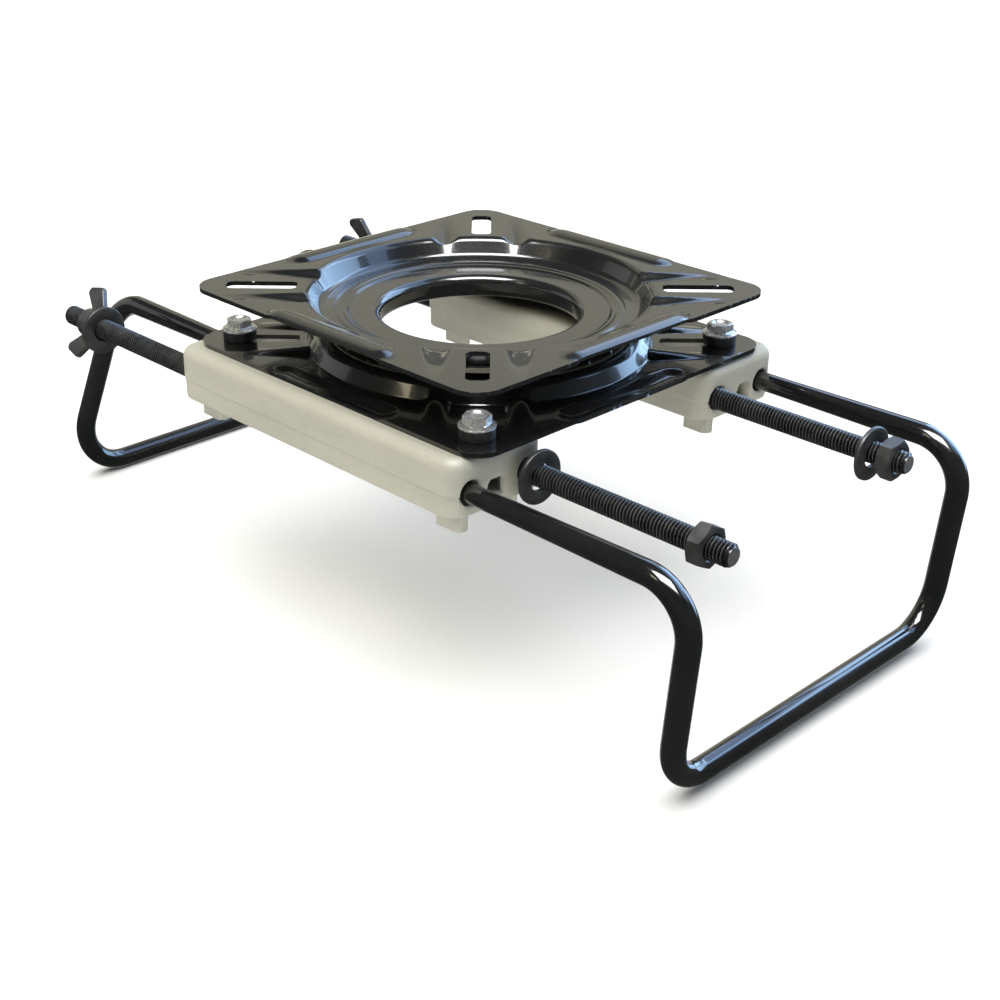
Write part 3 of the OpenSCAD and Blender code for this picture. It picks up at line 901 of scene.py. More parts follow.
    def build(self, finishes: Finishes) -> None:
        """Makes the plate: turned dish, drawn-out rim, slots, pressings, then its thickness."""
        shape = Shape()
        shape.turned(self.dish_profile(), self.round_steps)
        bm = shape.bm
        rim = [e for e in bm.edges if all(abs(v.co.xy.length - self.join_r) < 0.01 for v in e.verts)]
        rim = [e for e in rim if e.is_boundary]
        bmesh.ops.subdivide_edges(bm, edges=rim, cuts=1)
        ring = [v for v in bm.verts if abs(v.co.xy.length - self.join_r) < 0.05]
        for v in ring:
            v.co.xy = v.co.xy.normalized() * self.join_r
        inner = [e for e in shape.ring_edges(ring) if e.is_boundary]
        outer, _ = shape.grown(inner)
        for v in outer:
            v.co.x, v.co.y = self.rim_place(math.atan2(v.co.y, v.co.x) % FULL_TURN)
        edge_verts = set(outer)
        spokes = [e for v in outer for e in v.link_edges if e.other_vert(v) not in edge_verts]
        bmesh.ops.subdivide_edges(bm, edges=spokes, cuts=self.rim_steps - 1, use_grid_fill=True)
        for corner in range(4):
            self.punch(shape, corner)
        self.press(shape)
        bmesh.ops.recalc_face_normals(bm, faces=bm.faces[:])
        far = max(bm.faces, key=lambda f: f.calc_center_median().xy.length)
        if far.normal.z < 0:
            bmesh.ops.reverse_faces(bm, faces=bm.faces[:])
        shape.moved(Matrix.Translation((0, 0, LAYOUT.half_stack)))
        if not self.collar:
            shape.moved(Matrix.Rotation(math.pi, 4, "X"))
        made = shape.to_object(self.name, crease=60)
        sheet = made.modifiers.new("sheet", "SOLIDIFY")
        sheet.thickness = LAYOUT.sheet_t * METRES
        sheet.offset = -1
        sheet.use_even_offset = True
        sheet.use_quality_normals = True
        soft_edges(made, 0.5, 3, 60)
        settle(made)
        add_piece(made, [finishes.sheet], self.body, self.node)


@dataclass
class SwivelPlates:
    """The seat plate, the fixed plate and the ball race between them."""

    finishes: Finishes

    def build(self) -> None:
        """Builds both plates and dresses the race."""
        PressedPlate("seat_plate_sheet", "seat_plate", "upper_plate", True).build(self.finishes)
        PressedPlate("fixed_plate_sheet", "base", "lower_plate", False).build(self.finishes)
        for node, finish in (("ball_cage", self.finishes.cage), ("bearing_balls", self.finishes.ball)):
            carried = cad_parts[node]
            carried.data.materials.clear()
            carried.data.materials.append(finish)
            LOG.info("%s carried over", node)


@dataclass
class RolledThread:
    """A right-handed thread about Z, from a chamfered tip at z = 0 upward to a faded run-out."""

    length: float
    crest_r: float = 4.675
    blank_r: float = 4.1
    pitch: float = 1.5875
    tip_chamfer: float = 1.2
    fade_turns: float = 2.0
    crest_share: float = 0.16
    depth_share: float = 0.6
    run_out_sink: float = 0.06
    steps_per_turn: int = 24

    @property
    def root_r(self) -> float:
        """Radius at the bottom of the thread."""
        return self.crest_r - self.depth_share * self.pitch

    def build(self) -> Shape:
        """Winds one pitch's profile up the axis and shapes both ends."""
        shape = Shape()
        flank = (self.crest_r - self.root_r) * math.tan(math.radians(30))
        crest = self.pitch * self.crest_share
        root = self.pitch - crest - 2 * flank
        rises = [(self.root_r, 0.0), (self.root_r, root), (self.crest_r, root + flank),
                 (self.crest_r, root + flank + crest), (self.root_r, self.pitch)]
        row = shape.line([(r, 0.0, z - 2 * self.pitch) for r, z in rises])
        turns = math.ceil(self.length / self.pitch) + 2
        steps = turns * self.steps_per_turn
        bmesh.ops.spin(
            shape.bm, geom=row, cent=(0, 0, 0), axis=(0, 0, 1), dvec=(0, 0, self.pitch / self.steps_per_turn),
            angle=turns * FULL_TURN, steps=steps, use_merge=False, use_normal_flip=False,
            use_duplicate=False,
        )
        bmesh.ops.remove_doubles(shape.bm, verts=shape.bm.verts[:], dist=1e-3)
        faded = self.fade_turns * self.pitch
        for v in shape.bm.verts:
            radius, z = v.co.xy.length, v.co.z
            share = min(max((z - self.length + faded) / faded, 0.0), 1.0)
            wanted = radius + (self.blank_r - self.run_out_sink - radius) * share
            wanted = min(wanted, self.crest_r - self.tip_chamfer + max(z, 0.0))
            v.co.xy = v.co.xy * (wanted / radius)
        for at, side in ((0.0, -1), (self.length, 1)):
            whole = shape.bm.verts[:] + shape.bm.edges[:] + shape.bm.faces[:]
            bmesh.ops.bisect_plane(
                shape.bm, geom=whole, dist=1e-4, plane_co=(0, 0, at), plane_no=(0, 0, side),
                clear_outer=True,
            )
        shape.close()
        return shape


@dataclass
class BentHook:
    """A U hook bent from one rod, with two threaded legs along X."""

    name: str
    end: End
    top_x: float
    bottom_x: float
    leg_y: float
    cross_y: float
    tip: float
    lift: float = 0.0
    wire_r: float = 4.8
    bend_r: float = 20.0
    thread_len: float = 165.0
    taper_len: float = 70.0
    taper_rings: int = 5
    straight_rings: int = 4
    thread_lap: float = 1.0
    # Depth below the crest within which faces take the lighter crest finish: partly wear, partly a painted
    # highlight.
    rubbed_depth: float = 0.12
    bend_steps: int = 14
    facets: int = 32

    def corners(self) -> list[Vector]:
        """Corners of the rod's centreline, from one thread's run-out to the other's."""
        start = self.end.value * (-self.tip + self.thread_len - self.thread_lap)
        z_top, z_bottom = LAYOUT.rod_z, LAYOUT.cross_z + self.lift
        return [
            Vector((start, -self.leg_y, z_top)), Vector((self.top_x, -self.leg_y, z_top)),
            Vector((self.bottom_x, -self.cross_y, z_bottom)), Vector((self.bottom_x, self.cross_y, z_bottom)),
            Vector((self.top_x, self.leg_y, z_top)), Vector((start, self.leg_y, z_top)),
        ]

    def leg_sizes(self, length: float) -> list[tuple[float, float]]:
        """Distance and wire radius along a leg of that length, from its run-out to its bend."""
        blank, taper, rings = RolledThread.blank_r, length - self.taper_len, self.taper_rings
        steps = [(taper * 0.5, blank), (taper, blank)]
        steps += [(taper + self.taper_len * i / rings, blank + (self.wire_r - blank) * i / rings)
                  for i in range(1, rings + 1)]
        return steps

    def wire(self) -> Shape:
        """Draws a circle along the centreline, straight by straight and bend by bend."""
        corners = self.corners()
        ways = [(b - a).normalized() for a, b in zip(corners, corners[1:])]
        turns = [a.angle(b) for a, b in zip(ways, ways[1:])]
        trims = [0.0] + [self.bend_r * math.tan(t / 2) for t in turns] + [0.0]
        shape = Shape()
        ring = bmesh.ops.create_circle(
            shape.bm, cap_ends=False, radius=RolledThread.blank_r, segments=self.facets,
            matrix=Matrix.Translation(corners[0]) @ ways[0].to_track_quat("Z", "Y").to_matrix().to_4x4(),
        )["verts"]
        edges = shape.ring_edges(ring)
        radius, centre = RolledThread.blank_r, corners[0]
        last = len(ways) - 1
        for i, way in enumerate(ways):
            start = corners[i] + way * trims[i]
            length = (corners[i + 1] - way * trims[i + 1] - start).length
            if i == 0:
                sizes = self.leg_sizes(length)
            elif i == last:
                leg = [(0.0, RolledThread.blank_r)] + self.leg_sizes(length)[:-1]
                sizes = [(length - d, r) for d, r in reversed(leg)]
            else:
                rings = self.straight_rings
                sizes = [(length * step / rings, self.wire_r) for step in range(1, rings + 1)]
            for distance, size in sizes:
                verts, edges = shape.grown(edges)
                target = start + way * distance
                bmesh.ops.translate(shape.bm, vec=target - centre, verts=verts)
                centre = target
                bmesh.ops.scale(
                    shape.bm, vec=(size / radius,) * 3, space=Matrix.Translation(-centre), verts=verts
                )
                radius = size
            if i < last:
                inward = (ways[i + 1] - way * ways[i + 1].dot(way)).normalized()
                pivot = centre + inward * self.bend_r
                axis = way.cross(inward)
                made = bmesh.ops.spin(
                    shape.bm, geom=edges, cent=pivot, axis=axis, dvec=(0, 0, 0), angle=turns[i],
                    steps=self.bend_steps, use_merge=False, use_normal_flip=False, use_duplicate=False,
                )
                edges = [g for g in made["geom_last"] if isinstance(g, bmesh.types.BMEdge)]
                centre = pivot + Matrix.Rotation(turns[i], 3, axis) @ (centre - pivot)
        shape.close()
        return shape

    def build(self, finishes: Finishes) -> None:
        """Makes the hook: the bent wire in enamel and its two threads in black steel."""
        shape = self.wire()
        plain = len(shape.bm.faces)
        for side in (-1, 1):
            aim = Vector((self.end.value, 0, 0)).to_track_quat("Z", "Y").to_matrix().to_4x4()
            place = Matrix.Translation((-self.end.value * self.tip, side * self.leg_y, LAYOUT.rod_z))
            shape.joined(RolledThread(self.thread_len).build().moved(place @ aim))
        shape.bm.faces.ensure_lookup_table()
        shape.bm.normal_update()
        for face in shape.bm.faces[plain:]:
            place = face.calc_center_median()
            off = math.hypot(abs(place.y) - self.leg_y, place.z - LAYOUT.rod_z)
            # Crests and cut end faces take the lighter crest finish: bare steel on the end faces, partly wear
            # and partly a painted highlight on the crests.
            worn_and_highlit = off > RolledThread.crest_r - self.rubbed_depth or abs(face.normal.x) > 0.99
            face.material_index = 2 if worn_and_highlit else 1
        made = shape.to_object(self.name, crease=40)
        node = "front_hook" if self.end is End.FRONT else "rear_hook"
        add_piece(made, [finishes.wire, finishes.thread, finishes.crest], node, node)


@dataclass
class MouldedRail:
    """A moulded rail with rod holes, nut pockets, rubbing feet and a parting line."""

    side: Side
    shift: float
    length: float = 176.0
    width: float = 50.0
    height: float = 24.0
    corner_r: float = 8.0
    top_r: float = 5.0
    bottom_r: float = 1.0
    rod_hole_r: float = 5.2
    chamber_w: float = 15.0
    chamber_drop: float = 11.0
    chamber_half: float = 6.07
    mouth_w: float = 9.0
    mouth_drop: float = 12.0
    mouth_shift: float = 0.6
    pocket_shift: float = 2.0
    pocket_floor: float = 20.0
    pocket_roof: float = 1.6
    foot_len: float = 12.5
    foot_w: float = 6.5
    foot_h: float = 6.5
    foot_inset: float = 4.2
    foot_pitch: float = 26.5
    front_inset: float = 1.2
    rear_inset: float = 12.0
    foot_edge_r: float = 0.4
    lead_in: float = 1.2
    draft: float = 0.3

    @property
    def middle_y(self) -> float:
        """Distance of the rail's middle from the swivel."""
        return self.side.value * (LAYOUT.outer_rod_y + LAYOUT.inner_rod_y) / 2

    @property
    def top(self) -> float:
        """Height of the rail's top face."""
        return -LAYOUT.half_stack

    def block(self) -> Shape:
        """The rounded block, whose lower half is drawn in a little below its parting line."""
        shape = Shape()
        bm = shape.bm
        bmesh.ops.create_cube(bm, size=1.0)
        bmesh.ops.scale(bm, vec=(self.length, self.width, self.height), verts=bm.verts[:])
        upright = [e for e in bm.edges if abs(e.verts[0].co.z - e.verts[1].co.z) > 1]
        shape.rounded(upright, self.corner_r, 8)
        for sign, radius, segments in ((1, self.top_r, 7), (-1, self.bottom_r, 3)):
            rim = [e for e in bm.edges if all(abs(v.co.z - sign * self.height / 2) < 0.01 for v in e.verts)]
            shape.rounded(rim, radius, segments)
        line_z = LAYOUT.rod_z - self.top + self.height / 2
        for step in (0.0, self.draft):
            whole = bm.verts[:] + bm.edges[:] + bm.faces[:]
            bmesh.ops.bisect_plane(
                bm, geom=whole, dist=1e-4, plane_co=(0, 0, line_z - step), plane_no=(0, 0, 1)
            )
        low = [v for v in bm.verts if v.co.z < line_z - self.draft / 2]
        shrink = (1 - 2 * self.draft / self.length, 1 - 2 * self.draft / self.width, 1)
        bmesh.ops.scale(bm, vec=shrink, verts=low)
        return shape.moved(Matrix.Translation((self.shift, self.middle_y, self.top - self.height / 2)))

    def foot(self, x: float, y: float) -> Shape:
        """One rubbing foot with a round front end, from its rear right corner at x and y."""
        r, low = self.foot_w / 2, -self.height - self.foot_h
        outline = [(0.0, self.foot_w), (0.0, 0.0)] + arc((self.foot_len - r, r), r, -90, 90, 14)
        shape = Shape().drawn_out([(a, b, low) for a, b in outline], (0, 0, self.foot_h + self.bottom_r))
        rim = [e for e in shape.bm.edges if all(abs(v.co.z - low) < 0.01 for v in e.verts)]
        shape.rounded(rim, self.foot_edge_r, 2)
        corner = (self.shift - self.length / 2 + x, self.middle_y - self.width / 2 + y, self.top)
        return shape.moved(Matrix.Translation(corner))

    def rod_bore(self, y: float) -> Shape:
        """Cutter for one rod hole, with a small lead-in at both ends."""
        half, r, lead, past = self.length / 2, self.rod_hole_r, self.lead_in, 2.0
        rings = [
            Ring(r + lead + past, -half - past), Ring(r, -half + lead),
            Ring(r, half - lead), Ring(r + lead + past, half + past),
        ]
        place = Matrix.Translation((self.shift, y, LAYOUT.rod_z))
        return stacked(rings, 48).moved(place @ ALONG_X)

    def tunnel(self, start: float, stop: float, y: float, width: float, drop: float) -> Shape:
        """Cutter along X with chamfered top corners.

        Args:
            start: X of its first end.
            stop: X of its other end.
            y: Place of its middle, as a distance from the swivel.
            width: Width of the cut.
            drop: Depth of its ceiling below the rail's top.

        Returns:
            The closed cutter.
        """
        half, roof, depth = width / 2, self.pocket_roof, self.pocket_floor - drop
        section = [(-half, -depth), (half, -depth), (half, -roof),
                   (half - roof, 0.0), (-half + roof, 0.0), (-half, -roof)]
        places = [(start, self.side.value * y + a, self.top - drop + b) for a, b in section]
        return Shape().drawn_out(places, (stop - start, 0, 0))

    def build(self, finishes: Finishes) -> None:
        """Makes the rail: block, feet, bores and pockets, then even shading."""
        name = self.side.name.lower() + "_rail"
        made = self.block().to_object(name + "_moulding")
        feet = Shape()
        for x in (self.rear_inset, self.length - self.front_inset - self.foot_len):
            for y in (self.foot_inset, self.foot_inset + self.foot_pitch):
                feet.joined(self.foot(x, y))
        combine(made, feet.to_object("feet"), "UNION")
        for y in (LAYOUT.outer_rod_y, LAYOUT.inner_rod_y):
            combine(made, self.rod_bore(self.side.value * y).to_object("bore"), "DIFFERENCE")
        for end in End:
            bolt, sign = LAYOUT.bolt_xy, end.value
            near, far = sign * (bolt - self.chamber_half), sign * (bolt + self.chamber_half)
            chamber = self.tunnel(near, far, bolt - self.pocket_shift, self.chamber_w, self.chamber_drop)
            mouth_end = self.shift + sign * (self.length / 2 + 1)
            mouth = self.tunnel(
                sign * bolt, mouth_end, bolt - self.mouth_shift, self.mouth_w, self.mouth_drop
            )
            for cutter in (chamber, mouth):
                combine(made, cutter.to_object("cutter"), "DIFFERENCE")
        even_shading(made)
        settle(made)
        add_piece(made, [finishes.nylon], "base", name)


@dataclass
class PlateFixing:
    """One plate bolt on its spacer, with the nut in the rail's pocket."""

    end: End
    side: Side
    spacer_h: float = 4.3
    spacer_r: float = 7.25
    flange_r: float = 7.5
    flange_t: float = 1.3
    head_af: float = 10.0
    head_h: float = 3.7
    shank_r: float = 3.1
    bolt_len: float = 25.0
    nut_af: float = 10.0
    nut_h: float = 5.0
    nut_z: float = -29.32
    side_turn: float = 0.35
    end_turn: float = 0.2

    @property
    def tag(self) -> str:
        """Ending of the names of this fixing's nodes."""
        return self.end.name.lower() + "_" + self.side.name.lower()

    def place(self, z: float, turn: float = 0.0) -> Matrix:
        """Matrix of a part whose base is at height z over the bolt's place."""
        xy = (self.end.value * LAYOUT.bolt_xy, self.side.value * LAYOUT.bolt_xy, z)
        return Matrix.Translation(xy) @ Matrix.Rotation(turn, 4, "Z")

    def bolt(self) -> Shape:
        """Hexagon washer-head bolt with a dished top."""
        half, top = self.head_af / 2, self.flange_t + self.head_h
        rings = [
            Ring(self.shank_r - 0.6, -self.bolt_len), Ring(self.shank_r, -self.bolt_len + 0.6),
            Ring(self.shank_r, 0.0), Ring(self.flange_r - 0.3, 0.0), Ring(self.flange_r, 0.25),
            Ring(self.flange_r, 0.75), Ring(self.flange_r - 0.35, 1.05),
            Ring(half + 1.2, self.flange_t + 0.1),
            Ring(half + 0.35, self.flange_t + 0.25, Outline.HEXAGON),
            Ring(half, self.flange_t + 0.7, Outline.HEXAGON),
            Ring(half, top, Outline.HEXAGON, half * 0.96), Ring(half * 0.94, top),
            Ring(half * 0.74, top), Ring(half * 0.66, top - 0.25), Ring(half * 0.55, top - 0.75),
            Ring(half * 0.2, top - 0.9),
        ]
        return stacked(rings)

    def spacer(self) -> Shape:
        """Round spacer with softened rims."""
        bore, r, h = self.shank_r + 0.15, self.spacer_r, self.spacer_h
        profile = [(bore, 0.0), (r - 0.5, 0.0), (r - 0.12, 0.15), (r, 0.5), (r, h - 0.5),
                   (r - 0.12, h - 0.15), (r - 0.5, h), (bore, h)]
        shape = Shape()
        shape.turned(profile, 48, closed=True)
        return shape

    def build(self, finishes: Finishes) -> None:
        """Makes the bolt, the spacer and the nut."""
        seat = -LAYOUT.half_stack + LAYOUT.sheet_t + self.spacer_h
        turn = self.side_turn * self.side.value + self.end_turn * self.end.value
        nut = hexagon_nut(self.nut_af, self.nut_h, self.shank_r + 0.06)
        parts = (
            (self.bolt(), "plate_bolt_", "bolt_", self.place(seat, turn), 30, finishes.zinc, Slot.ZINC),
            (self.spacer(), "bolt_spacer_", "spacer_", self.place(seat - self.spacer_h), 38,
             finishes.rubber, Slot.RUBBER),
            (nut, "pocket_nut_", "rail_nut_", self.place(self.nut_z), 30, finishes.zinc, Slot.ZINC),
        )
        for shape, name, node, place, crease, finish, slot in parts:
            made = shape.moved(place).to_object(name + self.tag, crease)
            add_piece(made, [finish], "base", node + self.tag)


def hexagon_nut(af: float, height: float, bore_r: float) -> Shape:
    """A hexagon nut with both faces chamfered, its base at z = 0.

    Args:
        af: Width across flats.
        height: Height of the nut.
        bore_r: Radius of the hole.

    Returns:
        The closed shape.
    """
    half = af / 2
    rise = math.tan(math.radians(30))
    return stacked(
        [
            Ring(bore_r + 0.7, 0.0), Ring(half * 0.95, 0.0),
            Ring(half, 0.0, Outline.HEXAGON, half * 0.97, rise),
            Ring(half, height, Outline.HEXAGON, half * 0.97), Ring(half * 0.95, height),
            Ring(bore_r + 0.7, height), Ring(bore_r, height - 0.7), Ring(bore_r, 0.7),
        ],
        bored=True,
    )


def flat_washer(outer_r: float, bore_r: float, thickness: float) -> Shape:
    """A punched flat washer with a rolled and a sharp rim, its middle at z = 0.

    Args:
        outer_r: Outer radius.
        bore_r: Radius of the hole.
        thickness: Thickness.

    Returns:
        The closed shape.
    """
    h = thickness / 2
    shape = Shape()
    shape.turned(
        [(bore_r + 0.1, -h), (outer_r - 0.15, -h), (outer_r, -h + 0.15), (outer_r, h - 0.5),
         (outer_r - 0.15, h - 0.18), (outer_r - 0.5, h), (bore_r + 0.4, h), (bore_r + 0.1, h - 0.15),
         (bore_r, h - 0.4), (bore_r, -h + 0.1)],
        60, closed=True,
    )
    return shape


@dataclass
class RodFixings:
    """Wing nuts, hexagon nuts and washers on the four threaded legs."""

    finishes: Finishes
    washer_r: float = 11.25
    washer_bore_r: float = 5.5
    washer_t: float = 1.8
    washer_sag: float = 0.765
    thread_bore_r: float = 4.735
    hex_af: float = 15.2
    hex_h: float = 6.4
    wing_nut_x: float = -167.6
    wing_gap: float = 0.2
    hub_h: float = 12.0
    base_r: float = 8.25
    wing_r: float = 17.8
    wing_t: float = 3.0
    wing_edge_r: float = 0.7
    voxel: float = 0.33
    tilts: dict[Side, float] = field(default_factory=lambda: {Side.RIGHT: 31.0, Side.LEFT: -5.0})
    nut_turns: dict[Side, float] = field(default_factory=lambda: {Side.RIGHT: 0.05, Side.LEFT: -0.35})
    nut_x: dict[Side, float] = field(default_factory=lambda: {Side.RIGHT: 170.4, Side.LEFT: 175.3})
    washer_x: dict[Side, float] = field(default_factory=lambda: {Side.RIGHT: 90.0, Side.LEFT: 166.0})

    def wing_outline(self) -> list[Point]:
        """Radius and height round one wing's edge."""
        tip_r, lean, draw_in = 2.6, 7.0, 1.4
        points = [(6.0, 1.5), (7.2, 1.5)]
        points += arc((self.wing_r - tip_r, lean + tip_r + 1), tip_r, -50, 0, 6)
        points += arc((self.wing_r - tip_r - draw_in, self.hub_h + lean - tip_r), tip_r, 20, 120, 6)
        return points + [(6.0, self.hub_h - 1)]

    def wing(self, turn: float) -> Shape:
        """One wing, extruded from its outline with its rim rounded."""
        places = [(r, -self.wing_t / 2, z) for r, z in self.wing_outline()]
        shape = Shape().drawn_out(places, (0, self.wing_t, 0))
        rim = [e for e in shape.bm.edges if abs(e.verts[0].co.y - e.verts[1].co.y) < 0.01]
        shape.rounded(rim, self.wing_edge_r, 3)
        return shape.moved(Matrix.Rotation(turn, 4, "Z"))

    def wing_nut(self, side: Side) -> None:
        """Makes one cast wing nut, fused to a single skin with soft roots."""
        hub = Shape()
        bore, base, top = self.thread_bore_r, self.base_r, self.base_r - 1.5
        profile = [(bore + 0.6, 0.0), (base - 0.4, 0.0), (base, 0.4), (base, 2.6), (base - 0.3, 3.2),
                   (top + 0.2, self.hub_h - 0.7), (top - 0.6, self.hub_h), (bore + 0.7, self.hub_h),
                   (bore, self.hub_h - 0.7), (bore, 0.6)]
        hub.turned(profile, 64, closed=True)
        hub.joined(self.wing(0.0)).joined(self.wing(math.pi))
        place = Matrix.Translation((self.wing_nut_x, side.value * LAYOUT.outer_rod_y, LAYOUT.rod_z))
        tilt = Matrix.Rotation(math.radians(self.tilts[side]), 4, "Z")
        turn = Matrix.Rotation(math.radians(-90), 4, "Y") @ tilt
        name = side.name.lower()
        made = hub.moved(place @ turn).to_object("cast_wing_nut_" + name)
        skin = made.modifiers.new("skin", "REMESH")
        skin.mode = "VOXEL"
        skin.voxel_size = self.voxel * METRES
        skin.use_smooth_shade = True
        soften = made.modifiers.new("soften", "SMOOTH")
        soften.factor = 0.5
        soften.iterations = 3
        settle(made)
        add_piece(made, [self.finishes.casting], "wing_nut_" + name, "wing_nut_" + name)

    def washer(self, name: str, node: str, x: float, y: float) -> None:
        """Makes one washer that hangs on its rod."""
        place = Matrix.Translation((x, y, LAYOUT.rod_z - self.washer_sag))
        shape = flat_washer(self.washer_r, self.washer_bore_r, self.washer_t).moved(place @ ALONG_X)
        add_piece(shape.to_object(name), [self.finishes.casting], node, node)

    def build(self) -> None:
        """Makes the fixings of both sides."""
        wing_washer_x = self.wing_nut_x + self.wing_gap + self.washer_t / 2
        for side in Side:
            name = side.name.lower()
            outer, inner = side.value * LAYOUT.outer_rod_y, side.value * LAYOUT.inner_rod_y
            self.wing_nut(side)
            self.washer("wing_side_washer_" + name, "wing_washer_" + name, wing_washer_x, outer)
            self.washer("nut_side_washer_" + name, "front_washer_" + name, self.washer_x[side], inner)
            turn = ALONG_X @ Matrix.Rotation(self.nut_turns[side], 4, "Z")
            place = Matrix.Translation((self.nut_x[side] - self.hex_h / 2, inner, LAYOUT.rod_z))
            nut = hexagon_nut(self.hex_af, self.hex_h, self.thread_bore_r).moved(place @ turn)
            made = nut.to_object("hook_hex_nut_" + name, 30)
            add_piece(made, [self.finishes.casting], "hex_nut_" + name, "hex_nut_" + name)


class Role(Enum):
    """What a studio light is for."""

    FILL = "soft light that is kept out of reflections"
    CARD = "panel that only shows in reflections"


@dataclass(frozen=True)
class Panel:
    """A rectangular studio light, placed by its direction from the swivel."""

    name: str
    role: Role
    azimuth: float
    elevation: float
    distance: float
    size: tuple[float, float]
    radiance: float
    colour: tuple[float, float, float] = (1.0, 1.0, 1.0)

    def build(self) -> None:
        """Hangs the light and aims it at the swivel."""
        data = bpy.data.lights.new(self.name, "AREA")
        data.shape = "RECTANGLE"
        data.size, data.size_y = self.size
        data.energy = self.radiance * math.pi * self.size[0] * self.size[1]
        data.color = self.colour
        lamp = hang(self.name, data)
        a, e = math.radians(self.azimuth), math.radians(self.elevation)
        way = Vector((math.cos(a) * math.cos(e), math.sin(a) * math.cos(e), math.sin(e)))
        lamp.location = way * self.distance
        lamp.rotation_euler = way.to_track_quat("Z", "Y").to_euler()
        lamp.visible_glossy = self.role is Role.CARD
        lamp.visible_diffuse = self.role is Role.FILL


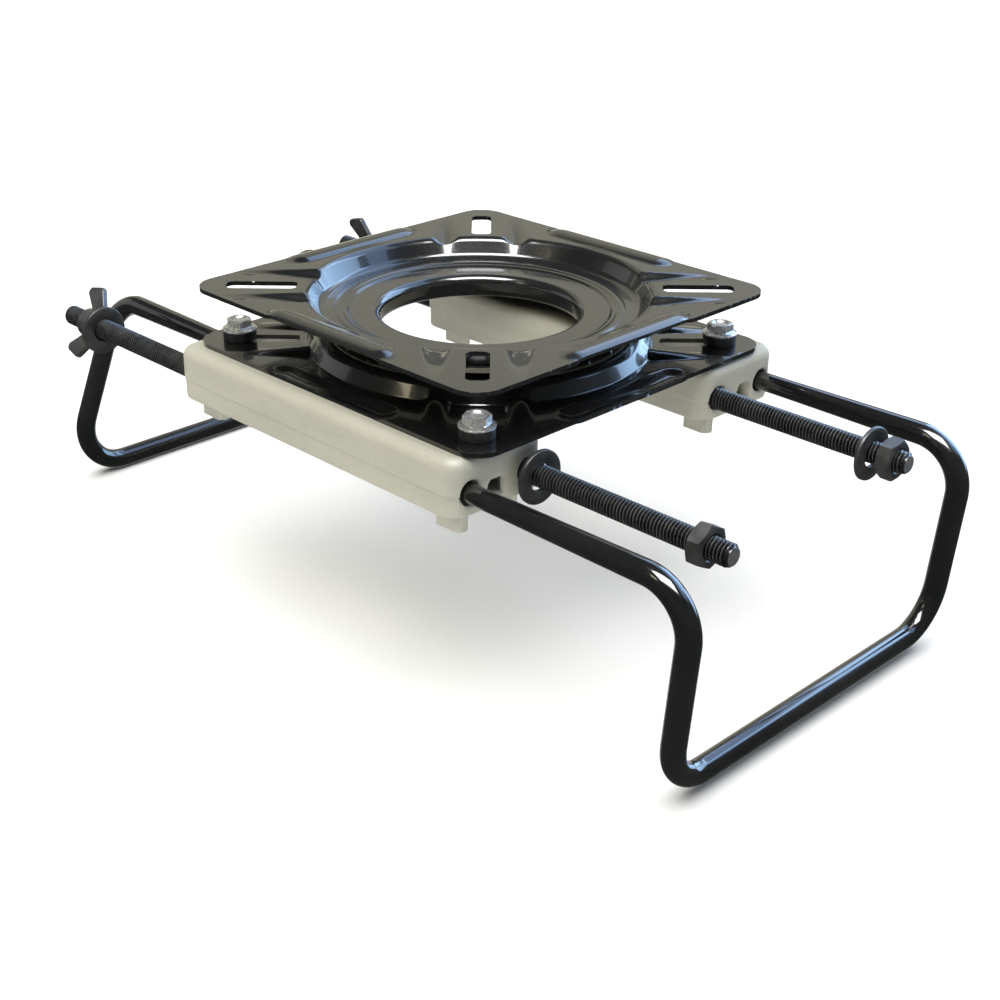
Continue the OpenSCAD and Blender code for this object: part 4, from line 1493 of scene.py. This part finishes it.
@dataclass
class Studio:
    """Camera, floor, sky and lights."""

    camera_mm: tuple[float, float, float] = (470.8, -465.2, 232.6)
    camera_turn: tuple[float, float, float] = (63.784, -0.304, 45.693)
    lens: float = 57.72
    shift: tuple[float, float] = (0.0269, 0.0085)
    floor_z: float = -118.9
    floor_half: float = 6.0
    sun_strength: float = 3.0
    sun_spread: float = 80.0
    lights: tuple[Panel, ...] = (
        Panel("key_fill", Role.FILL, -95, 50, 1.8, (1.4, 1.4), 1.85, (1.0, 0.93, 0.74)),
        Panel("front_fill", Role.FILL, 20, 12, 1.8, (1.2, 0.8), 0.8, (0.28, 0.50, 1.0)),
        Panel("ceiling_fill", Role.FILL, 120, 80, 2.2, (2.6, 2.6), 1.2),
        Panel("overhead_card", Role.CARD, -44, 70, 1.5, (1.3, 0.75), 20),
        Panel("window_card", Role.CARD, 82, 18, 1.6, (1.3, 1.3), 5.0, (0.42, 0.66, 1.0)),
        Panel("skylight_card", Role.CARD, 80, 46, 1.7, (2.6, 0.8), 2.2, (0.42, 0.62, 1.0)),
        Panel("warm_card", Role.CARD, -98, 35, 1.4, (0.22, 0.22), 5.0, (1.0, 0.90, 0.62)),
        Panel("band_card", Role.CARD, 140, -3, 1.6, (1.1, 0.45), 0.65, (1.0, 0.93, 0.70)),
        Panel("back_card", Role.CARD, 135, 27, 1.6, (1.7, 0.8), 0.42, (1.0, 0.95, 0.74)),
        Panel("side_card", Role.CARD, 168, 2, 1.6, (0.7, 0.6), 0.45, (1.0, 0.97, 0.74)),
        Panel("far_card", Role.CARD, -158, 14, 1.5, (0.9, 0.6), 0.4),
        Panel("low_back_card", Role.CARD, 135, -35, 1.6, (2.0, 1.0), 0.35),
    )

    def camera(self) -> None:
        """Sets the camera at the photograph's viewpoint."""
        data = bpy.data.cameras.new("camera")
        data.lens = self.lens
        data.sensor_width = 36
        data.shift_x, data.shift_y = self.shift
        data.clip_start, data.clip_end = 0.05, 50
        viewer = hang("camera", data)
        viewer.location = Vector(self.camera_mm) * METRES
        viewer.rotation_euler = [math.radians(a) for a in self.camera_turn]
        bpy.context.scene.camera = viewer

    @staticmethod
    def staged(name: str, bm: Any, finish: bpy.types.Material, hidden_from: Sequence[str]) -> None:
        """Sets up one studio surface, hidden from some kinds of ray."""
        mesh = bpy.data.meshes.new(name)
        bm.to_mesh(mesh)
        bm.free()
        mesh.materials.append(finish)
        made = hang(name, mesh)
        for ray in hidden_from:
            setattr(made, "visible_" + ray, False)

    def floor(self) -> None:
        """Lays a plain pale floor, kept out of the black parts' reflections."""
        bm = bmesh.new()
        low = Matrix.Translation((0, 0, self.floor_z * METRES))
        bmesh.ops.create_grid(bm, x_segments=2, y_segments=2, size=self.floor_half, matrix=low)
        g = Graph("studio_paper")
        tone = g.ramp(g.grain(240, 2), (0.3, 0.90), (0.7, 0.93))
        self.staged("studio_floor", bm, g.finish(Base_Color=tone, Roughness=0.9), ("glossy", "shadow"))

    def backdrop(self) -> None:
        """Hangs a pale dome that only the camera sees, behind the floor's far edge."""
        bm = bmesh.new()
        bmesh.ops.create_uvsphere(bm, u_segments=48, v_segments=24, radius=self.floor_half * 0.98)
        bmesh.ops.reverse_faces(bm, faces=bm.faces[:])
        g = Graph("backdrop_paper")
        tone = g.ramp(g.grain(900, 1), (0.3, 0.97), (0.7, 1.0))
        paper = g.finish(Base_Color=(0.0,) * 3, Roughness=1.0, Emission_Color=tone, Emission_Strength=0.99)
        self.staged("studio_backdrop", bm, paper, ("diffuse", "glossy", "transmission", "shadow"))

    def sun(self) -> None:
        """Hangs a wide sun, so that the floor stays as pale far away, kept out of reflections."""
        data = bpy.data.lights.new("soft_sun", "SUN")
        data.energy = self.sun_strength
        data.angle = math.radians(self.sun_spread)
        hang("soft_sun", data).visible_glossy = False

    def sky(self) -> None:
        """Paints the room that shows in reflections: dark below, pale round the walls, dim overhead."""
        world = bpy.data.worlds.new("room")
        bpy.context.scene.world = world
        world.use_nodes = True
        tree = world.node_tree
        back = next(n for n in tree.nodes if n.type == "BACKGROUND")
        way = tree.nodes.new("ShaderNodeTexCoord")
        split = tree.nodes.new("ShaderNodeSeparateXYZ")
        lift = tree.nodes.new("ShaderNodeMapRange")
        lift.inputs["From Min"].default_value = -1.0
        ramp = tree.nodes.new("ShaderNodeValToRGB")
        tree.links.new(way.outputs["Generated"], split.inputs[0])
        tree.links.new(split.outputs["Z"], lift.inputs["Value"])
        tree.links.new(lift.outputs["Result"], ramp.inputs["Fac"])
        tree.links.new(ramp.outputs["Color"], back.inputs["Color"])
        stops = (
            (0.0, (0.05, 0.055, 0.05)), (0.49, (0.07, 0.075, 0.07)), (0.52, (0.11, 0.115, 0.11)),
            (0.72, (0.11, 0.115, 0.11)), (0.80, (0.06, 0.065, 0.065)), (1.0, (0.10, 0.105, 0.105)),
        )
        Graph.set_stops(ramp.color_ramp, stops)

    def build(self) -> None:
        """Builds the whole studio."""
        bpy.context.scene.view_settings.view_transform = "Standard"
        self.camera()
        self.floor()
        self.backdrop()
        self.sun()
        self.sky()
        for light in self.lights:
            light.build()


def main() -> None:
    """Builds the studio and every sub-assembly in order."""
    logging.basicConfig(level=logging.INFO, format="%(message)s")
    Studio().build()
    finishes = Finishes.made()
    SwivelPlates(finishes).build()
    MouldedRail(Side.RIGHT, -4.0).build(finishes)
    MouldedRail(Side.LEFT, 1.5).build(finishes)
    outer, inner = LAYOUT.outer_rod_y, LAYOUT.inner_rod_y
    hooks = (
        BentHook("front_hook_rod", End.FRONT, 190.6, 184.5, outer, outer, 194.5, lift=3.0),
        BentHook("rear_hook_rod", End.REAR, -201.7, -201.7, inner, inner + 35.7, 183.0),
    )
    for hook in hooks:
        hook.build(finishes)
    for end in End:
        for side in Side:
            PlateFixing(end, side).build(finishes)
    RodFixings(finishes).build()


if __name__ == "__main__":
    main()
